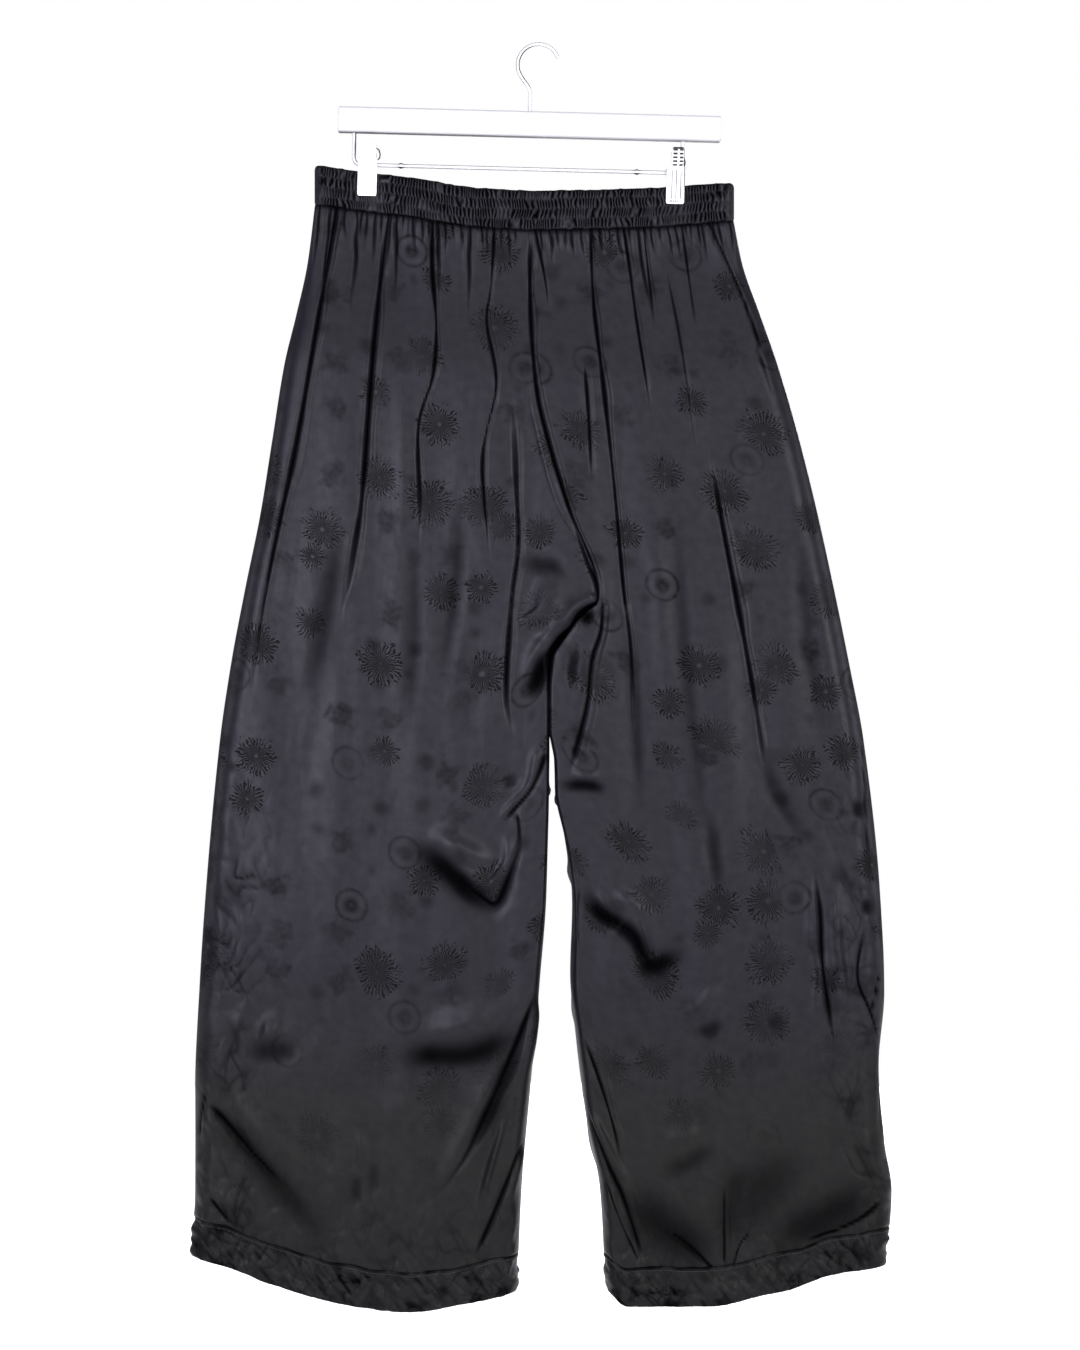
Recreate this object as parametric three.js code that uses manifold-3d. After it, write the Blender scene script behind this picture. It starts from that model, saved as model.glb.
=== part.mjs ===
// Wide-leg pull-on trousers with a gathered elastic waistband, hung from a clip hanger.
// Millimetres, +Z up, X to the right and Y away from the viewer, who looks at the front.
// The origin is where a rail bears, at the top of the inside of the hanger's hook.
// Left and right are as seen from the front.
import * as THREE from "three";
import { mergeVertices } from "three/addons/utils/BufferGeometryUtils.js";
import Module from "manifold-3d";

const wasm = await Module();
wasm.setup();

// Driving sizes
const CLOTH = 1.5; // wall of a leg panel, thinner across a steep fold
const CASING = 3.2; // waistband: cloth, elastic and cloth
const HEM_WALL = 2.0; // turned-up hem, several layers
const SEAM_GAP = 0.3; // between two pieces at a seam
const WAISTBAND_HEIGHT = 36;
const HEM_SHARE = 0.963; // share of the leg's length where the hem begins
const WAIST_GATHERS = 76; // on each half of the waistband
const GATHER_HEIGHT = 1.0;
const CROTCH_SHARE = 0.3535; // share of the leg's length at the crotch
const CROTCH_CURVE_STARTS = 0.25;
const OPENS_BY = 0.15; // share of the leg's length at which it has opened to its full depth
const SIDE_ROUND = { atWaist: 7, below: 27 }; // width over which the cloth turns round a side
const INSEAM_ROUND = { atWaist: 6, below: 24 };
const SLACK_WAIST = { halfDepth: 9.5, fromClip: 55 }; // the waistband's, clear of the clips
const WAIST_END_ROUND = 9;
const BILLOW = 3.2; // slow waves of the lower leg
const BACK_HEM_LIFT = 4; // the back hangs a little shorter

const HANGER_TILT = THREE.MathUtils.degToRad(1.5); // the right end hangs lower
const BAR = { x: -6.8, length: 352, height: 24, thickness: 12, top: -60.6, corner: 3, bevel: 1.5 };
const HOOK = { wire: 1.7, inside: 17.4, tipAngle: 24, backAngle: 205, stemX: -7, stemFoot: -72 };
// The rod's left leg stands just outside its clip and the right one rises behind its clip.
const ROD = { radius: 1.8, z: -113.6, left: -167.6, leftBend: 7, right: 134.5, rightBend: 4, intoBar: 8 };
const CLIP = { width: 19, gripWidth: 14, top: -91.5, foot: -142.5, bite: 4.2, plate: 1.4 };
const SPRING = { radius: 4.4, length: 9, offset: -3.8 };
const LEFT_CLIP_X = -154;
const RIGHT_CLIP_X = 129.6;
const HOLE_PLAY = 0.3; // round a wire in its hole
const HOLE_SIDES = 16;

// Outlines, read down the garment. z is height and x is across, both from the hook.
const LEFT_SIDE = [
  { z: -146, x: -206 }, { z: -201, x: -213 }, { z: -247, x: -223 },
  { z: -293, x: -234 }, { z: -362, x: -245 }, { z: -431, x: -256 },
  { z: -500, x: -270 }, { z: -569, x: -283 }, { z: -638, x: -293 },
  { z: -776, x: -306 }, { z: -868, x: -312 }, { z: -960, x: -316 },
  { z: -1052, x: -316 }, { z: -1110, x: -321 },
];
const RIGHT_SIDE = [
  { z: -161, x: 179 }, { z: -201, x: 187 }, { z: -247, x: 203 },
  { z: -293, x: 219 }, { z: -362, x: 239 }, { z: -431, x: 256 },
  { z: -500, x: 271 }, { z: -569, x: 285 }, { z: -638, x: 298 },
  { z: -776, x: 313 }, { z: -868, x: 317 }, { z: -937, x: 312 },
  { z: -1006, x: 317 }, { z: -1052, x: 324 }, { z: -1119, x: 319 },
];
// Centre seam down to the crotch, which has swung to the right, then the left leg's inseam.
const CENTRE_AND_INSEAM = [
  { z: -170, x: -10 }, { z: -234, x: -4 }, { z: -326, x: 2 },
  { z: -399, x: 17 }, { z: -473, x: 44 }, { z: -514, x: 57 },
  { z: -545, x: 40 }, { z: -575, x: 16 }, { z: -638, x: 10 },
  { z: -776, x: 7 }, { z: -868, x: 0 }, { z: -960, x: -8 },
  { z: -1052, x: -16 }, { z: -1143, x: -20 },
];
// Distance between the legs' inseams.
const LEG_GAP = [
  { z: -514, wide: 0.5 }, { z: -638, wide: 1.2 }, { z: -684, wide: 4 },
  { z: -730, wide: 16 }, { z: -776, wide: 23 }, { z: -850, wide: 27 },
  { z: -914, wide: 38 }, { z: -983, wide: 53 }, { z: -1052, wide: 72 },
  { z: -1143, wide: 81 },
];
// Seam under the waistband, and the foot of each hem. across is 0 at a side seam, 1 at the centre.
const LEFT_WAIST_SEAM = [
  { across: 0, z: -146 }, { across: 0.2, z: -151 }, { across: 0.4, z: -156 },
  { across: 0.75, z: -167 }, { across: 1, z: -170 },
];
const RIGHT_WAIST_SEAM = [
  { across: 0, z: -161 }, { across: 0.4, z: -166.5 }, { across: 0.65, z: -169 },
  { across: 1, z: -170 },
];
const LEFT_HEM_FOOT = [
  { across: 0, z: -1110 }, { across: 0.12, z: -1119 }, { across: 0.25, z: -1134 },
  { across: 0.49, z: -1154 }, { across: 0.67, z: -1160 }, { across: 0.85, z: -1152 },
  { across: 1, z: -1143 },
];
const RIGHT_HEM_FOOT = [
  { across: 0, z: -1119 }, { across: 0.2, z: -1126 }, { across: 0.34, z: -1139 },
  { across: 0.48, z: -1147 }, { across: 0.62, z: -1155 }, { across: 0.92, z: -1155 },
  { across: 1, z: -1143 },
];
// Half of the hollow leg's depth from front to back, once it has opened below the waist.
const HALF_DEPTH = [
  { z: -150, y: 12 }, { z: -240, y: 20 }, { z: -330, y: 26 },
  { z: -430, y: 31 }, { z: -514, y: 34 }, { z: -700, y: 35 },
  { z: -900, y: 34 }, { z: -1160, y: 31 },
];
// Folds that fall from the waist seam: at is the trough's place across the panel's flat, 0 by the side
// seam and 1 by the centre seam, depth its depth, and reach the share of the leg that it runs down.
const LEFT_FOLDS = [
  { at: 0.08, depth: 8.5, reach: 0.5 },
  { at: 0.17, depth: 3, reach: 0.14 },
  { at: 0.25, depth: 3.5, reach: 0.1 },
  { at: 0.33, depth: 8.5, reach: 0.42 },
  { at: 0.42, depth: 4, reach: 0.16 },
  { at: 0.49, depth: 4, reach: 0.12 },
  { at: 0.57, depth: 7, reach: 0.38 },
  { at: 0.66, depth: 3.5, reach: 0.18 },
  { at: 0.74, depth: 4.5, reach: 0.22 },
  { at: 0.82, depth: 7, reach: 0.4 },
  { at: 0.91, depth: 6, reach: 0.56 },
];
const RIGHT_FOLDS = [
  { at: 0.08, depth: 5, reach: 0.3 },
  { at: 0.17, depth: 4, reach: 0.14 },
  { at: 0.26, depth: 5, reach: 0.3 },
  { at: 0.35, depth: 6.5, reach: 0.62 },
  { at: 0.44, depth: 4, reach: 0.2 },
  { at: 0.53, depth: 5, reach: 0.28 },
  { at: 0.61, depth: 4, reach: 0.16 },
  { at: 0.69, depth: 4.5, reach: 0.24 },
  { at: 0.77, depth: 7, reach: 0.58 },
  { at: 0.85, depth: 4.5, reach: 0.3 },
  { at: 0.93, depth: 4, reach: 0.12 },
];
// Slanting folds that pull from the inseam: the trough runs from one point of the front to another.
const LEFT_DRAGS = [
  { x: -128, z: -728, toX: -42, toZ: -784, depth: 7, width: 17 },
  { x: -46, z: -786, toX: 0, toZ: -700, depth: 6, width: 13 },
  { x: -112, z: -922, toX: -18, toZ: -912, depth: 5, width: 17 },
  { x: -24, z: -900, toX: -68, toZ: -1050, depth: 6, width: 14 },
  { x: -290, z: -1000, toX: -235, toZ: -1060, depth: 5, width: 13 },
];
const RIGHT_DRAGS = [
  { x: 36, z: -770, toX: 112, toZ: -846, depth: 7, width: 15 },
  { x: 48, z: -960, toX: 96, toZ: -1100, depth: 6, width: 13 },
  { x: 250, z: -770, toX: 268, toZ: -940, depth: 6, width: 13 },
  { x: 292, z: -800, toX: 305, toZ: -950, depth: 5, width: 12 },
];
// Rows of a leg panel, as shares of the leg's length.
const PANEL_ROWS = [
  0, 0.02, 0.05, 0.09, 0.14, 0.19, 0.24, 0.28, 0.32, CROTCH_SHARE, 0.385,
  0.42, 0.47, 0.53, 0.59, 0.65, 0.71, 0.77, 0.83, 0.9, HEM_SHARE,
];
const ROUND_COLUMNS = 3; // columns that turn the cloth round a side or an inseam
const SWING_FADE = 4; // how soon the crotch's swing dies away from the seam

const mix = THREE.MathUtils.lerp;
const smooth = THREE.MathUtils.smoothstep;

// Repeatable unevenness from -1 to 1 for the k-th of a row of like things.
function uneven(k) {
  const wave = Math.sin(k * 12.9898 + 4.1) * 43758.5453;
  return 2 * (wave - Math.floor(wave)) - 1;
}

// A smooth curve through a table's rows that never swings past them.
function through(rows, from, to) {
  const sorted = [...rows].sort((p, q) => p[from] - q[from]);
  const at = sorted.map((row) => row[from]);
  const value = sorted.map((row) => row[to]);
  const steep = at.slice(1).map((right, i) => (value[i + 1] - value[i]) / (right - at[i]));
  const slope = value.map((_, i) => {
    if (i === 0) return steep[0];
    if (i === steep.length) return steep[i - 1];
    return steep[i - 1] * steep[i] <= 0 ? 0 : (2 * steep[i - 1] * steep[i]) / (steep[i - 1] + steep[i]);
  });
  return (where) => {
    const inside = THREE.MathUtils.clamp(where, at[0], at.at(-1));
    const i = Math.max(0, Math.min(at.length - 2, at.findIndex((right) => right >= inside) - 1));
    const span = at[i + 1] - at[i];
    const t = (inside - at[i]) / span;
    const bow = (1 - t) * t * ((1 - t) * (slope[i] * span) - t * (slope[i + 1] * span));
    return mix(value[i], value[i + 1], t * t * (3 - 2 * t)) + bow;
  };
}

const inseam = through(CENTRE_AND_INSEAM, "z", "x");
const straightInseam = through(CENTRE_AND_INSEAM.filter((row) => row.x < 12), "z", "x");
const legGap = through(LEG_GAP, "z", "wide");
const halfDepth = through(HALF_DEPTH, "z", "y");

const LEFT_LEG = {
  side: through(LEFT_SIDE, "z", "x"),
  inner: (z) => inseam(z) - SEAM_GAP / 2,
  waistSeam: through(LEFT_WAIST_SEAM, "across", "z"),
  hemFoot: through(LEFT_HEM_FOOT, "across", "z"),
  folds: LEFT_FOLDS,
  drags: LEFT_DRAGS,
};
const RIGHT_LEG = {
  side: through(RIGHT_SIDE, "z", "x"),
  inner: (z) => inseam(z) + Math.max(SEAM_GAP / 2, legGap(z)),
  waistSeam: through(RIGHT_WAIST_SEAM, "across", "z"),
  hemFoot: through(RIGHT_HEM_FOOT, "across", "z"),
  folds: RIGHT_FOLDS,
  drags: RIGHT_DRAGS,
};

// The clips' places once the hanger has tilted.
const clipPlaces = [LEFT_CLIP_X, RIGHT_CLIP_X].map(
  (x) => x * Math.cos(HANGER_TILT) + ROD.z * Math.sin(HANGER_TILT),
);

// Half the distance between the waistband's front and back: pinched in the clips, slack between them.
function waistHalfDepth(x) {
  const pinched = CASING / 2 + SEAM_GAP;
  const fromClip = Math.min(...clipPlaces.map((place) => Math.abs(x - place)));
  return mix(pinched, SLACK_WAIST.halfDepth, smooth(fromClip, CLIP.width / 2 + 1, SLACK_WAIST.fromClip));
}

// A closed solid from a grid of points on the outside and one on the inside of a wall.
// A wall that goes all the way round has no ends, and its last column joins its first.
function wall(outside, inside, round = false) {
  const columns = outside.length;
  const rows = outside[0].length;
  const points = [...outside.flat(), ...inside.flat()];
  const out = (i, j) => (i % columns) * rows + j;
  const back = (i, j) => columns * rows + out(i, j);
  const faces = [];
  const quad = (a, b, c, d) => faces.push(a, b, c, a, c, d);
  const last = round ? columns : columns - 1;
  for (let i = 0; i < last; i++) {
    for (let j = 0; j < rows - 1; j++) {
      quad(out(i, j), out(i, j + 1), out(i + 1, j + 1), out(i + 1, j));
      quad(back(i, j), back(i + 1, j), back(i + 1, j + 1), back(i, j + 1));
    }
    quad(out(i, 0), out(i + 1, 0), back(i + 1, 0), back(i, 0));
    quad(out(i, rows - 1), back(i, rows - 1), back(i + 1, rows - 1), out(i + 1, rows - 1));
  }
  for (let j = 0; j < rows - 1 && !round; j++) {
    quad(out(0, j), back(0, j), back(0, j + 1), out(0, j + 1));
    quad(out(last, j), out(last, j + 1), back(last, j + 1), back(last, j));
  }
  return facingOut(points, faces);
}

// A geometry from points and triangles, turned round if its faces point inwards.
function facingOut(points, faces) {
  let volume = 0;
  for (let k = 0; k < faces.length; k += 3) {
    const [a, b, c] = [points[faces[k]], points[faces[k + 1]], points[faces[k + 2]]];
    volume += a.dot(b.clone().cross(c));
  }
  const geometry = new THREE.BufferGeometry().setFromPoints(points);
  geometry.setIndex(volume > 0 ? faces : faces.reverse());
  geometry.computeVertexNormals();
  return geometry;
}

// A round wire along a path in the plane of the hanger, closed at both ends.
function wire(path, radius, sides) {
  const rings = path.map((centre, i) => {
    const along = path[Math.min(i + 1, path.length - 1)].clone().sub(path[Math.max(i - 1, 0)]).normalize();
    const across = new THREE.Vector3(along.z, 0, -along.x);
    return Array.from({ length: sides }, (_, k) => {
      const turn = (2 * Math.PI * k) / sides;
      const rim = centre.clone().addScaledVector(across, radius * Math.cos(turn));
      rim.y += radius * Math.sin(turn);
      return rim;
    });
  });
  const points = [...rings.flat(), path[0].clone(), path.at(-1).clone()];
  const first = points.length - 2;
  const end = rings.length - 1;
  const faces = [];
  for (let k = 0; k < sides; k++) {
    const next = (k + 1) % sides;
    for (let i = 0; i < end; i++) {
      const [a, b] = [i * sides + k, i * sides + next];
      faces.push(a, b, b + sides, a, b + sides, a + sides);
    }
    faces.push(first, next, k, first + 1, end * sides + k, end * sides + next);
  }
  return facingOut(points, faces);
}

// Points of an arc in the plane of the hanger, its angles in degrees from +X towards +Z.
function arc(x, z, radius, from, to, steps) {
  return Array.from({ length: steps + 1 }, (_, k) => {
    const turn = THREE.MathUtils.degToRad(mix(from, to, k / steps));
    return new THREE.Vector3(x + radius * Math.cos(turn), 0, z + radius * Math.sin(turn));
  });
}

function solidOf(geometry) {
  const bare = geometry.clone();
  bare.deleteAttribute("normal");
  bare.deleteAttribute("uv");
  const merged = mergeVertices(bare, 1e-4);
  return new wasm.Manifold(
    new wasm.Mesh({
      numProp: 3,
      vertProperties: merged.attributes.position.array,
      triVerts: new Uint32Array(merged.index.array),
    }),
  );
}

function geometryOf(solid) {
  const mesh = solid.getMesh();
  const geometry = new THREE.BufferGeometry();
  geometry.setAttribute("position", new THREE.BufferAttribute(mesh.vertProperties, 3));
  geometry.setIndex(new THREE.BufferAttribute(mesh.triVerts, 1));
  geometry.computeVertexNormals();
  return geometry;
}

// Columns of a leg's front or back, from the side seam across to the centre seam or inseam.
// turn is how far the cloth has turned from the side on to the flat, past how far it has turned off it.
function columnsOf(folds) {
  const quarter = Array.from({ length: ROUND_COLUMNS }, (_, k) => k / ROUND_COLUMNS);
  const crests = folds.slice(1).map((fold, k) => ({
    at: (fold.at + folds[k].at) / 2,
    depth: -0.35 * Math.min(fold.depth, folds[k].depth),
    reach: Math.min(fold.reach, folds[k].reach) + 0.06,
  }));
  const flat = [{ at: 0, depth: 0, reach: 0.1 }, ...folds, ...crests, { at: 1, depth: 0, reach: 0.1 }];
  flat.sort((p, q) => p.at - q.at);
  return [
    ...quarter.map((turn) => ({ at: 0, turn, past: 0, depth: 0, reach: 0.1 })),
    ...flat.map((fold) => ({ ...fold, turn: 1, past: 0 })),
    ...quarter.map((turn) => ({ at: 1, turn: 1, past: turn + 1 / ROUND_COLUMNS, depth: 0, reach: 0.1 })),
  ];
}

// A point of a leg's outer skin. face is -1 for the front and 1 for the back, down runs from 0 at the
// waist seam to 1 at the hem's foot, and apart is the gap left at a seam between front and back.
function legPoint(leg, face, column, down, apart) {
  const open = smooth(down, 0, OPENS_BY);
  const sideX = leg.side(mix(leg.waistSeam(0), leg.hemFoot(0), down));
  const innerZ = mix(leg.waistSeam(1), leg.hemFoot(1), down);
  const innerX = leg.inner(innerZ);
  const width = Math.abs(innerX - sideX);
  const sideRound = mix(SIDE_ROUND.atWaist, SIDE_ROUND.below, open) / width;
  const innerRound = mix(INSEAM_ROUND.atWaist, INSEAM_ROUND.below, open) / width;
  const sideTurn = (column.turn * Math.PI) / 2;
  const endTurn = Math.max(0.02, (smooth(down, CROTCH_CURVE_STARTS, CROTCH_SHARE) * Math.PI) / 2);
  const innerTurn = column.past * endTurn;

  let across = sideRound + (1 - sideRound - innerRound) * column.at;
  if (column.turn < 1) across = sideRound * (1 - Math.cos(sideTurn));
  if (column.past > 0) across = 1 - innerRound * (1 - Math.sin(innerTurn) / Math.sin(endTurn));

  const swing = inseam(innerZ) - straightInseam(innerZ); // of the crotch, felt only near the seam
  const x = mix(sideX, innerX - swing, across) + swing * across ** SWING_FADE;
  const lift = face > 0 ? BACK_HEM_LIFT * Math.sin(Math.PI * across) * down * down : 0;
  const z = mix(leg.waistSeam(across), leg.hemFoot(across), down) + lift;
  const deep = mix(waistHalfDepth(x), halfDepth(z), open);
  const round = Math.sin(sideTurn) * Math.cos(innerTurn);
  const y = face * Math.max(apart / 2, deep * round);
  return { point: new THREE.Vector3(x, y, z), across, open };
}

// How far the cloth stands out of its smooth section at a point, in folds that fall and folds that pull.
function relief(leg, face, column, down, { point, across, open }) {
  const flat = column.turn === 1 && column.past === 0 ? 1 : 0;
  const starts = mix(0.12, 1, smooth(down, 0, 0.13)) * Math.min(1, waistHalfDepth(point.x) / 6 + open);
  const fall = -column.depth * starts * (1 - smooth(down, column.reach * 0.35, column.reach * 1.1));
  let pull = 0;
  for (const drag of leg.drags) {
    const [runX, runZ] = [drag.toX - drag.x, drag.toZ - drag.z];
    const [offX, offZ] = [point.x - drag.x, point.z - drag.z];
    const length = Math.hypot(runX, runZ);
    const along = (offX * runX + offZ * runZ) / length ** 2;
    const away = (offX * runZ - offZ * runX) / length;
    const ends = smooth(along, -0.25, 0.2) * (1 - smooth(along, 0.8, 1.25));
    pull -= drag.depth * ends * Math.exp(-((away / drag.width) ** 2));
  }
  const billow = BILLOW * smooth(down, 0.45, 1) * Math.sin(across * 3 * Math.PI + (face > 0 ? 1.2 : 0));
  return flat * (fall + pull * (face < 0 ? 1 : 0.7) + billow);
}

// The wall of one leg's front or back between two rows, or of both for a hem.
function legColumns(leg, face, folds, rows, thick, apart) {
  const columns = columnsOf(folds);
  const step = 1e-3;
  const outside = [];
  const inside = [];
  for (const column of columns) {
    const outer = [];
    const inner = [];
    for (const down of rows) {
      const here = legPoint(leg, face, column, down, apart);
      const below = legPoint(leg, face, column, down + step, apart).point;
      const slant = sectionSlant(leg, face, column, down);
      const normal = slant.cross(below.sub(here.point)).normalize();
      const outward = normal.y * face < 0 ? normal.negate() : normal;
      const end = column.turn === 0 || column.past === 1;
      if (end) outward.setY(here.point.y === (face * apart) / 2 ? 0 : outward.y).normalize();
      if (column.turn === 0) outward.setX(-Math.abs(outward.x) * Math.sign(leg.inner(0) - leg.side(0)));
      const height = relief(leg, face, column, down, here);
      const skin = here.point.clone().addScaledVector(outward, height);
      outer.push(skin);
      inner.push(skin.clone().addScaledVector(outward, -thick));
    }
    outside.push(outer);
    inside.push(inner);
  }
  return { outside, inside };
}

// Direction of the smooth section, from the side towards the inseam, at a column.
function sectionSlant(leg, face, column, down) {
  const nudge = 0.02;
  const nudged = (by) => {
    if (column.turn < 1) return { ...column, turn: THREE.MathUtils.clamp(column.turn + by, 0, 1) };
    if (column.past > 0) return { ...column, past: THREE.MathUtils.clamp(column.past + by, 0, 1) };
    return { ...column, at: column.at + by * 0.5 };
  };
  const before = legPoint(leg, face, nudged(-nudge), down, 0).point;
  const after = legPoint(leg, face, nudged(nudge), down, 0).point;
  return after.sub(before);
}

function legPanel(leg, face, folds) {
  const { outside, inside } = legColumns(leg, face, folds, PANEL_ROWS, CLOTH, SEAM_GAP);
  return wall(outside, inside);
}

function legHem(leg, frontFolds, backFolds) {
  const below = HEM_SHARE + SEAM_GAP / 960;
  const rows = [below, mix(below, 1, 0.5), 1];
  const front = legColumns(leg, -1, frontFolds, rows, HEM_WALL, 0);
  const back = legColumns(leg, 1, backFolds, rows, HEM_WALL, 0);
  const around = (side) => [...front[side], ...back[side].slice(1, -1).reverse()];
  return wall(around("outside"), around("inside"), true);
}

// One half of the waistband: an elastic casing whose gathers lean this way and that.
function waistbandHalf(face) {
  const leftX = LEFT_LEG.side(LEFT_LEG.waistSeam(0));
  const rightX = RIGHT_LEG.side(RIGHT_LEG.waistSeam(0));
  const centreX = inseam(LEFT_LEG.waistSeam(1));
  const count = 2 * WAIST_GATHERS;
  const outside = [];
  const inside = [];
  for (let k = 0; k <= count; k++) {
    const x = mix(leftX, rightX, k / count);
    const fromEnd = Math.min(x - leftX, rightX - x);
    const turn = Math.acos(Math.max(0, 1 - fromEnd / WAIST_END_ROUND));
    const seam = x < centreX
      ? LEFT_LEG.waistSeam((x - leftX) / (centreX - leftX))
      : RIGHT_LEG.waistSeam((rightX - x) / (rightX - centreX));
    const side = x < centreX ? -1 : 1;
    const outward = new THREE.Vector3(side * Math.cos(turn), face * Math.sin(turn), 0);
    const fromClip = Math.min(...clipPlaces.map((place) => Math.abs(x - place)));
    const free = mix(0.15, 1, smooth(fromClip, CLIP.width / 2, CLIP.width));
    const loose = free * smooth(fromEnd, 2, WAIST_END_ROUND);
    const gather = GATHER_HEIGHT * (0.8 + 0.35 * uneven(k)) * loose * (k % 2 ? 1 : -1);
    const mid = Math.max(CASING / 2, waistHalfDepth(x)) * Math.sin(turn);
    const foot = seam + SEAM_GAP;
    const ruffle = 0.5 * uneven(k + 300) * loose - (face > 0 ? 1.5 : 0) * smooth(fromEnd, 0, 60);
    const rows = [0, 0.5, 1].map((up) => {
      const lean = up === 0.5 ? 0.7 * uneven(Math.floor(k / 7)) * loose : 0;
      const z = mix(foot, foot + WAISTBAND_HEIGHT + ruffle, up);
      const y = face * Math.max(SEAM_GAP / 2, mid);
      return new THREE.Vector3(x + lean, y, z);
    });
    const half = fromEnd === 0 ? 0 : CASING / 2;
    outside.push(rows.map((point) => point.clone().addScaledVector(outward, half + gather)));
    inside.push(rows.map((point) => point.clone().addScaledVector(outward, half - CASING + 0.5 * gather)));
  }
  return wall(outside, inside);
}

// Turns an outline drawn as (y, z) and extruded along z into one that runs along x, centred on 0.
function alongX(outline, length, options) {
  const geometry = new THREE.ExtrudeGeometry(outline, { depth: length, bevelEnabled: false, ...options });
  geometry.translate(0, 0, -length / 2);
  const turn = new THREE.Matrix4().makeBasis(
    new THREE.Vector3(0, 1, 0),
    new THREE.Vector3(0, 0, 1),
    new THREE.Vector3(1, 0, 0),
  );
  return geometry.applyMatrix4(turn);
}

// Wooden bar with rounded edges, bored for the hook's stem and the rod's two ends.
function hangerBar() {
  const [halfY, halfZ, r] = [BAR.thickness / 2, BAR.height / 2, BAR.corner];
  const section = new THREE.Shape();
  section.moveTo(-halfY + r, -halfZ);
  section.absarc(halfY - r, -halfZ + r, r, -Math.PI / 2, 0);
  section.absarc(halfY - r, halfZ - r, r, 0, Math.PI / 2);
  section.absarc(-halfY + r, halfZ - r, r, Math.PI / 2, Math.PI);
  section.absarc(-halfY + r, -halfZ + r, r, Math.PI, 1.5 * Math.PI);
  const body = alongX(section, BAR.length - 2 * BAR.bevel, {
    curveSegments: 4,
    bevelEnabled: true,
    bevelSize: BAR.bevel,
    bevelThickness: BAR.bevel,
    bevelOffset: -BAR.bevel,
    bevelSegments: 2,
  });
  body.translate(BAR.x, 0, BAR.top - halfZ);
  const hole = (x, radius, low, high) => {
    const drill = new THREE.CylinderGeometry(radius, radius, high - low, HOLE_SIDES);
    drill.rotateX(Math.PI / 2).translate(x, 0, (low + high) / 2);
    return solidOf(drill);
  };
  const under = BAR.top - BAR.height;
  let solid = solidOf(body);
  solid = solid.subtract(hole(HOOK.stemX, HOOK.wire + HOLE_PLAY, HOOK.stemFoot - HOLE_PLAY, BAR.top + 1));
  for (const x of [ROD.left, ROD.right]) {
    solid = solid.subtract(hole(x, ROD.radius + HOLE_PLAY, under - 1, under + ROD.intoBar + HOLE_PLAY));
  }
  return geometryOf(solid);
}

// Hook: round over the rail, back across to the stem, and down into the bar.
function hangerHook() {
  const radius = HOOK.inside + HOOK.wire;
  const head = arc(0, -HOOK.inside, radius, HOOK.tipAngle, HOOK.backAngle, 22);
  const heel = head.at(-1);
  const sweep = new THREE.CubicBezierCurve3(
    heel,
    new THREE.Vector3(heel.x + 4.5, 0, heel.z - 9),
    new THREE.Vector3(HOOK.stemX, 0, heel.z - 11),
    new THREE.Vector3(HOOK.stemX, 0, heel.z - 20),
  );
  const neck = sweep.getPoints(9).slice(1);
  return wire([...head, ...neck, new THREE.Vector3(HOOK.stemX, 0, HOOK.stemFoot)], HOOK.wire, 10);
}

// Rod: down out of the bar, across under it, and up into the bar again.
function hangerRod() {
  const top = BAR.top - BAR.height + ROD.intoBar;
  return wire(
    [
      new THREE.Vector3(ROD.left, 0, top),
      ...arc(ROD.left + ROD.leftBend, ROD.z + ROD.leftBend, ROD.leftBend, 180, 270, 5),
      ...arc(ROD.right - ROD.rightBend, ROD.z + ROD.rightBend, ROD.rightBend, 270, 360, 5),
      new THREE.Vector3(ROD.right, 0, top),
    ],
    ROD.radius,
    10,
  );
}

// One jaw of a clip: a bent plate that bites below the rod and splays above it into a ribbed grip.
function clipJaw(face) {
  const ribs = 5;
  const ribPitch = 3.1;
  const shoulder = ROD.z + 4;
  const bend = SPRING.radius + SEAM_GAP;
  const gripY = bend + 7.5;
  const outer = [
    [CLIP.bite + CLIP.plate, CLIP.foot],
    [CLIP.bite + 1.9 * CLIP.plate, CLIP.foot + 4],
    [bend + CLIP.plate, shoulder],
  ];
  for (let k = 0; k < ribs; k++) {
    const z = shoulder + 3.5 + k * ribPitch;
    const y = mix(bend, gripY, (z - shoulder) / (CLIP.top - shoulder)) + CLIP.plate;
    outer.push([y, z], [y + 0.9, z + 0.3 * ribPitch], [y + 0.9, z + 0.6 * ribPitch]);
  }
  outer.push([gripY + CLIP.plate, CLIP.top]);
  const inner = [
    [gripY, CLIP.top],
    [bend, shoulder],
    [bend, ROD.z - 5],
    [CLIP.bite + 0.9 * CLIP.plate, CLIP.foot + 20],
    [CLIP.bite + 0.9 * CLIP.plate, CLIP.foot + 4],
    [CLIP.bite, CLIP.foot + 2],
    [CLIP.bite, CLIP.foot],
  ];
  const outline = new THREE.Shape([...outer, ...inner].map(([y, z]) => new THREE.Vector2(face * y, z)));
  let jaw = solidOf(alongX(outline, CLIP.width));
  for (const side of [-1, 1]) {
    const notch = new THREE.BoxGeometry(CLIP.width - CLIP.gripWidth, 60, 30);
    jaw = jaw.subtract(solidOf(notch.translate((side * CLIP.width) / 2, 0, shoulder + 17)));
  }
  return geometryOf(jaw);
}

// Spring barrel of a clip, round the rod.
function clipSpring() {
  const [hollow, skin] = [ROD.radius + HOLE_PLAY, SPRING.radius];
  const half = SPRING.length / 2;
  const profile = [[hollow, -half], [skin, -half], [skin, half], [hollow, half], [hollow, -half]];
  const barrel = new THREE.LatheGeometry(profile.map(([r, x]) => new THREE.Vector2(r, x)), HOLE_SIDES);
  return barrel.rotateZ(-Math.PI / 2).translate(SPRING.offset, 0, ROD.z);
}

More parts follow.
